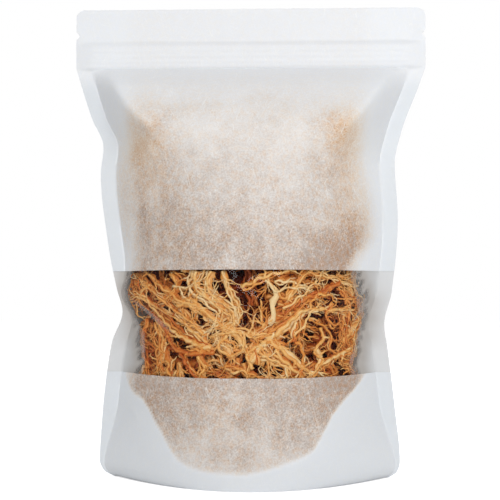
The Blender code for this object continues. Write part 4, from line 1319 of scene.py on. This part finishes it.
def film_facts(x, z, away):
    """How close the moss lies to the film, less along two folds for a painted highlight, and how near
    it is for the tint.
    """
    near = np.exp(-(away / FILM_REACH) ** 2)
    contact_and_painted_light = np.maximum(FILM_CONTACT * smooth_step(*FILM_NEAR, near), filled(x, z, FILM_FADE, 0.0))
    # painted highlight: along the first two folds the film is made milkier, so a pale streak shows
    for start, end, width, rise in FRONT_RIDGES[:2]:
        contact_and_painted_light *= 1.0 - FOLD_HIGHLIGHT * ridge(x, z, start, end, width, rise) / rise
    return contact_and_painted_light, np.exp(-(away / HAZE_AND_LIGHT_REACH) ** 2)


def paper_facts(x, z, away):
    """Moss nearness to the paper, with painted shade on the left cheek, and the tint's warmth."""
    near = np.exp(-(away / PAPER_REACH) ** 2)
    contact_and_painted_light = filled(x, z, PAPER_FADE, LOW_ROOM) * (PAPER_CONTACT + (1.0 - PAPER_CONTACT) * near)
    for *middle, reach, less in STAIN_CHANGES:
        contact_and_painted_light *= 1.0 - less * hill(x, z, *middle, reach, reach)
    inside = np.abs(column_at(x, z))
    # painted shade: the left cheek is darkened to grey, mixed in as if it were moss nearness
    contact_and_painted_light = np.maximum(contact_and_painted_light, CHEEK_SHADE_AMOUNT * hill(x, z, *CHEEK_PAINTED_SHADE) * (inside < 1.0))
    warmth = LEAST_WARMTH + SIDE_WARMTH * smooth_step(*WARM_FROM, inside)
    for *middle, reach, more in WARM_PLACES:
        warmth += more * hill(x, z, *middle, reach, reach)
    return contact_and_painted_light, np.minimum(warmth, 1.0)


def add_stain_and_painted_light(piece, moss_facts, opaque):
    """Stores per vertex how close the moss is with painted light mixed in, its warmth, what is
    sealed, and how opaque it is.
    """
    points = get_points(piece)
    x, z = points[:, 0], points[:, 2]
    contact_and_painted_light, warmth = moss_facts(x, z, np.array([near_tree.find(point)[2] for point in points]))
    sealed = smooth_step(*SEAL_FADE, np.abs(x) - (side_edge(x, z) - seal_width(z, x)))
    sealed *= 1.0 - smooth_step(*CRUMPLE_OUT, z)
    corner = GUSSET_SEALED * (1.0 - smooth_step(*GUSSET_FADE, above_gusset(x, z)))
    facts = [contact_and_painted_light, warmth, np.maximum(sealed, corner), np.full_like(sealed, opaque)]
    store_facts(piece.data, "stain_and_painted_light", np.stack(facts, axis=-1))
    print(piece.name, "mean contact", round(float(contact_and_painted_light.mean()), 2))


for piece, opaque in ((upper_paper, 1.0), (lower_paper, 1.0), (back_sheet, 0.0), (gusset, 0.0)):
    add_stain_and_painted_light(piece, paper_facts, opaque)
add_stain_and_painted_light(front_film, film_facts, 1.0)

# %% [markdown]
# Rice paper is a thin, long-fibred mulberry paper. It is white and a little see-through, with
# visible fibres that lie every way, and a soft sheen from the film it is bonded to. On the back
# and the gusset some light comes through it, so the inside of the pouch is not black.

# %% Rice paper
SHORT_FIBRES_SHOW, LONG_FIBRES_SHOW = 0.36, 0.55
CLOUD_SHARE = 0.7
GRAIN_SHARE, GRAIN_DROP = 1.5, 0.10
SEAL_GREYER = 0.6


def fibre_lines(tree, spot, turn, stretch, scale, sharpness):
    """Thin curved fibres: noise drawn out along one direction, of which only the crests stay."""
    drawn = add_node(tree, "Mapping", {"vector_type": 'TEXTURE'}, Vector=spot,
                     Rotation=(0.0, turn, 0.0), Scale=(1.0, 1.0, 1.0 / stretch))
    lines = add_node(tree, "TexNoise", Vector=drawn, Scale=scale, Detail=2.0, Distortion=0.6)
    height = maths(tree, 'ABSOLUTE', maths(tree, 'SUBTRACT', lines, 0.5))
    return add_node(tree, "MapRange", Value=height, From_Min=0.0, From_Max=sharpness, To_Min=1.0,
                    To_Max=0.0)


def all_fibres(tree, spot, turns, **shape):
    """Fibres that lie in each of these directions, the whitest one on top."""
    fibres = [fibre_lines(tree, spot, turn, **shape) for turn in turns]
    return functools.reduce(lambda below, above: maths(tree, 'MAXIMUM', below, above), fibres)


paper_finish, tree = new_material("rice_paper_laminate")
spot = add_node(tree, "TexCoord").outputs["Object"]
contact_and_painted_light, warmth, sealed, opaque = stored_facts(tree, "stain_and_painted_light")
fibres = all_fibres(tree, spot, (0.35, 1.30, 2.60), stretch=14.0, scale=60.0, sharpness=0.013)
long_fibres = all_fibres(tree, spot, (1.30, 1.95), stretch=12.0, scale=26.0, sharpness=0.005)
weave = maths(tree, 'MAXIMUM', maths(tree, 'MULTIPLY', fibres, SHORT_FIBRES_SHOW),
              maths(tree, 'MULTIPLY', long_fibres, LONG_FIBRES_SHOW))
cloud = add_node(tree, "TexNoise", Vector=spot, Scale=160.0, Detail=3.0)
grain = add_node(tree, "TexNoise", Vector=spot, Scale=1100.0, Detail=2.0)
fleck = add_node(tree, "TexNoise", Vector=spot, Scale=420.0, Detail=3.0)
speckle = maths(tree, 'MULTIPLY_ADD', grain, GRAIN_SHARE, -GRAIN_DROP)
patchy = maths(tree, 'MULTIPLY_ADD', cloud, CLOUD_SHARE, speckle)
amount = maths(tree, 'MULTIPLY', contact_and_painted_light, patchy)
cool_tint = colour_ramp(tree, amount, ((0.0, "#e7eaef"), (0.35, "#ddd8d4"), (0.70, "#c9beb6"),
                                       (1.0, "#af9f94")))
warm_tint = colour_ramp(tree, amount, ((0.0, "#e9eaea"), (0.35, "#e2d2c0"), (0.70, "#d2ad88"),
                                       (1.0, "#b58254")))
fleck_share = add_node(tree, "MapRange", Value=fleck, From_Min=0.35, From_Max=0.65, To_Min=-0.26,
                       To_Max=0.36)
warm_share = maths(tree, 'ADD', warmth, fleck_share, clamp=True)
stained_and_shaded = mix_colours(tree, warm_share, cool_tint.outputs["Color"], warm_tint.outputs["Color"])
fibrous = mix_colours(tree, weave, stained_and_shaded, linear("#f4f4f2"))
seal_share = maths(tree, 'MULTIPLY', sealed, SEAL_GREYER)
paper = mix_colours(tree, seal_share, fibrous, linear("#d3d9de"))
bump = add_node(tree, "Bump", Strength=0.35, Distance=0.12 * MM, Height=fibres)
surface = add_node(tree, "BsdfPrincipled", Base_Color=paper, Roughness=0.45, Normal=bump)
lit_through = add_node(tree, "BsdfTranslucent", Color=paper)
through_share = add_node(tree, "MapRange", Value=opaque, To_Min=0.25, To_Max=0.0)
lit = add_node(tree, "MixShader", _0=through_share, _1=surface, _2=lit_through)
add_node(tree, "OutputMaterial", Surface=lit)

# %% [markdown]
# The clear film is polyester over polyethylene. Pressed against the moss it hardly shows, and
# only its shine gives it away. Where nothing lies behind it, and along the sealed sides, it looks
# milky. So the material mixes a see-through shader with a white haze, as the nearness says. The
# haze is partly the film's milkiness and partly painted light: it stands for the lit inside of the
# pouch seen through the film's sides, and along two folds it makes a painted highlight.

# %% Clear film
HAZE_AND_LIGHT_LETS_THROUGH = 0.15
SHINE_SHARE = 0.24

film_finish, tree = new_material("clear_polyester_film")
contact_and_painted_light, behind, _, _ = stored_facts(tree, "stain_and_painted_light")
# painted light: where the moss is not close, the haze also stands for the lit inside of the pouch
haze_and_light_share = add_node(tree, "MapRange", Value=contact_and_painted_light, From_Min=0.0, From_Max=0.88, To_Min=0.80,
                      To_Max=0.0)
haze_and_light_tint = mix_colours(tree, behind, linear("#f0f1f2"), linear("#c6bfb8"))
haze_and_inner_light = add_node(tree, "MixShader", _0=HAZE_AND_LIGHT_LETS_THROUGH,
                _1=add_node(tree, "BsdfDiffuse", Color=haze_and_light_tint),
                _2=add_node(tree, "BsdfTranslucent", Color=haze_and_light_tint))
clear = add_node(tree, "BsdfTransparent", Color=linear("#fbfcfc"))
hazy_and_lit = add_node(tree, "MixShader", _0=haze_and_light_share, _1=clear, _2=haze_and_inner_light)
gloss = add_node(tree, "BsdfGlossy", Color=(1.0, 1.0, 1.0, 1.0), Roughness=0.04)
backfacing = add_node(tree, "NewGeometry").outputs["Backfacing"]
shine = maths(tree, 'MULTIPLY', add_node(tree, "Fresnel", IOR=1.5),
              maths(tree, 'SUBTRACT', 1.0, backfacing))
shine = maths(tree, 'MULTIPLY', shine, SHINE_SHARE)
film = add_node(tree, "MixShader", _0=shine, _1=hazy_and_lit, _2=gloss)
add_node(tree, "OutputMaterial", Surface=film)

# %% [markdown]
# The zipper's two strips keep their solids from the frame and only get their plastic.

# %% Zipper plastic
zipper_finish, tree = new_material("zipper_polyethylene")
spot = add_node(tree, "TexCoord").outputs["Object"]
cloudy = add_node(tree, "TexNoise", Vector=spot, Scale=300.0)
rough = add_node(tree, "MapRange", Value=cloudy, To_Min=0.28, To_Max=0.42)
surface = add_node(tree, "BsdfPrincipled", Base_Color=linear("#eef0f2"), Roughness=rough, IOR=1.51)
add_node(tree, "OutputMaterial", Surface=surface)
for name in ("zipper_groove_strip", "zipper_rib_strip"):
    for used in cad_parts[name].material_slots:
        used.material = zipper_finish

# %% [markdown]
# Every new piece gets its finish, hides the solid it stands for, and rides with the pouch's one body.

# %% Pieces and their places
FINISHES = (
    (front_film, "front_film_web", film_finish, "clear_film"),
    (upper_paper, "front_paper_panel_upper", paper_finish, "rice_paper"),
    (lower_paper, "front_paper_panel_lower", paper_finish, "rice_paper"),
    (back_sheet, "back_web", paper_finish, "back_laminate"),
    (gusset, "bottom_gusset_web", paper_finish, "back_laminate"),
)
for piece, node, finish, slot in FINISHES:
    piece.data.materials.append(finish)
    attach(piece, "root")
    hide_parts(node)

# %% [markdown]
# Last, the box of the dressed pouch is printed, to set beside the box of its solids.

low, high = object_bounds()
print("visual box in mm:", [round(1000.0 * (b - a), 1) for a, b in zip(low, high)])
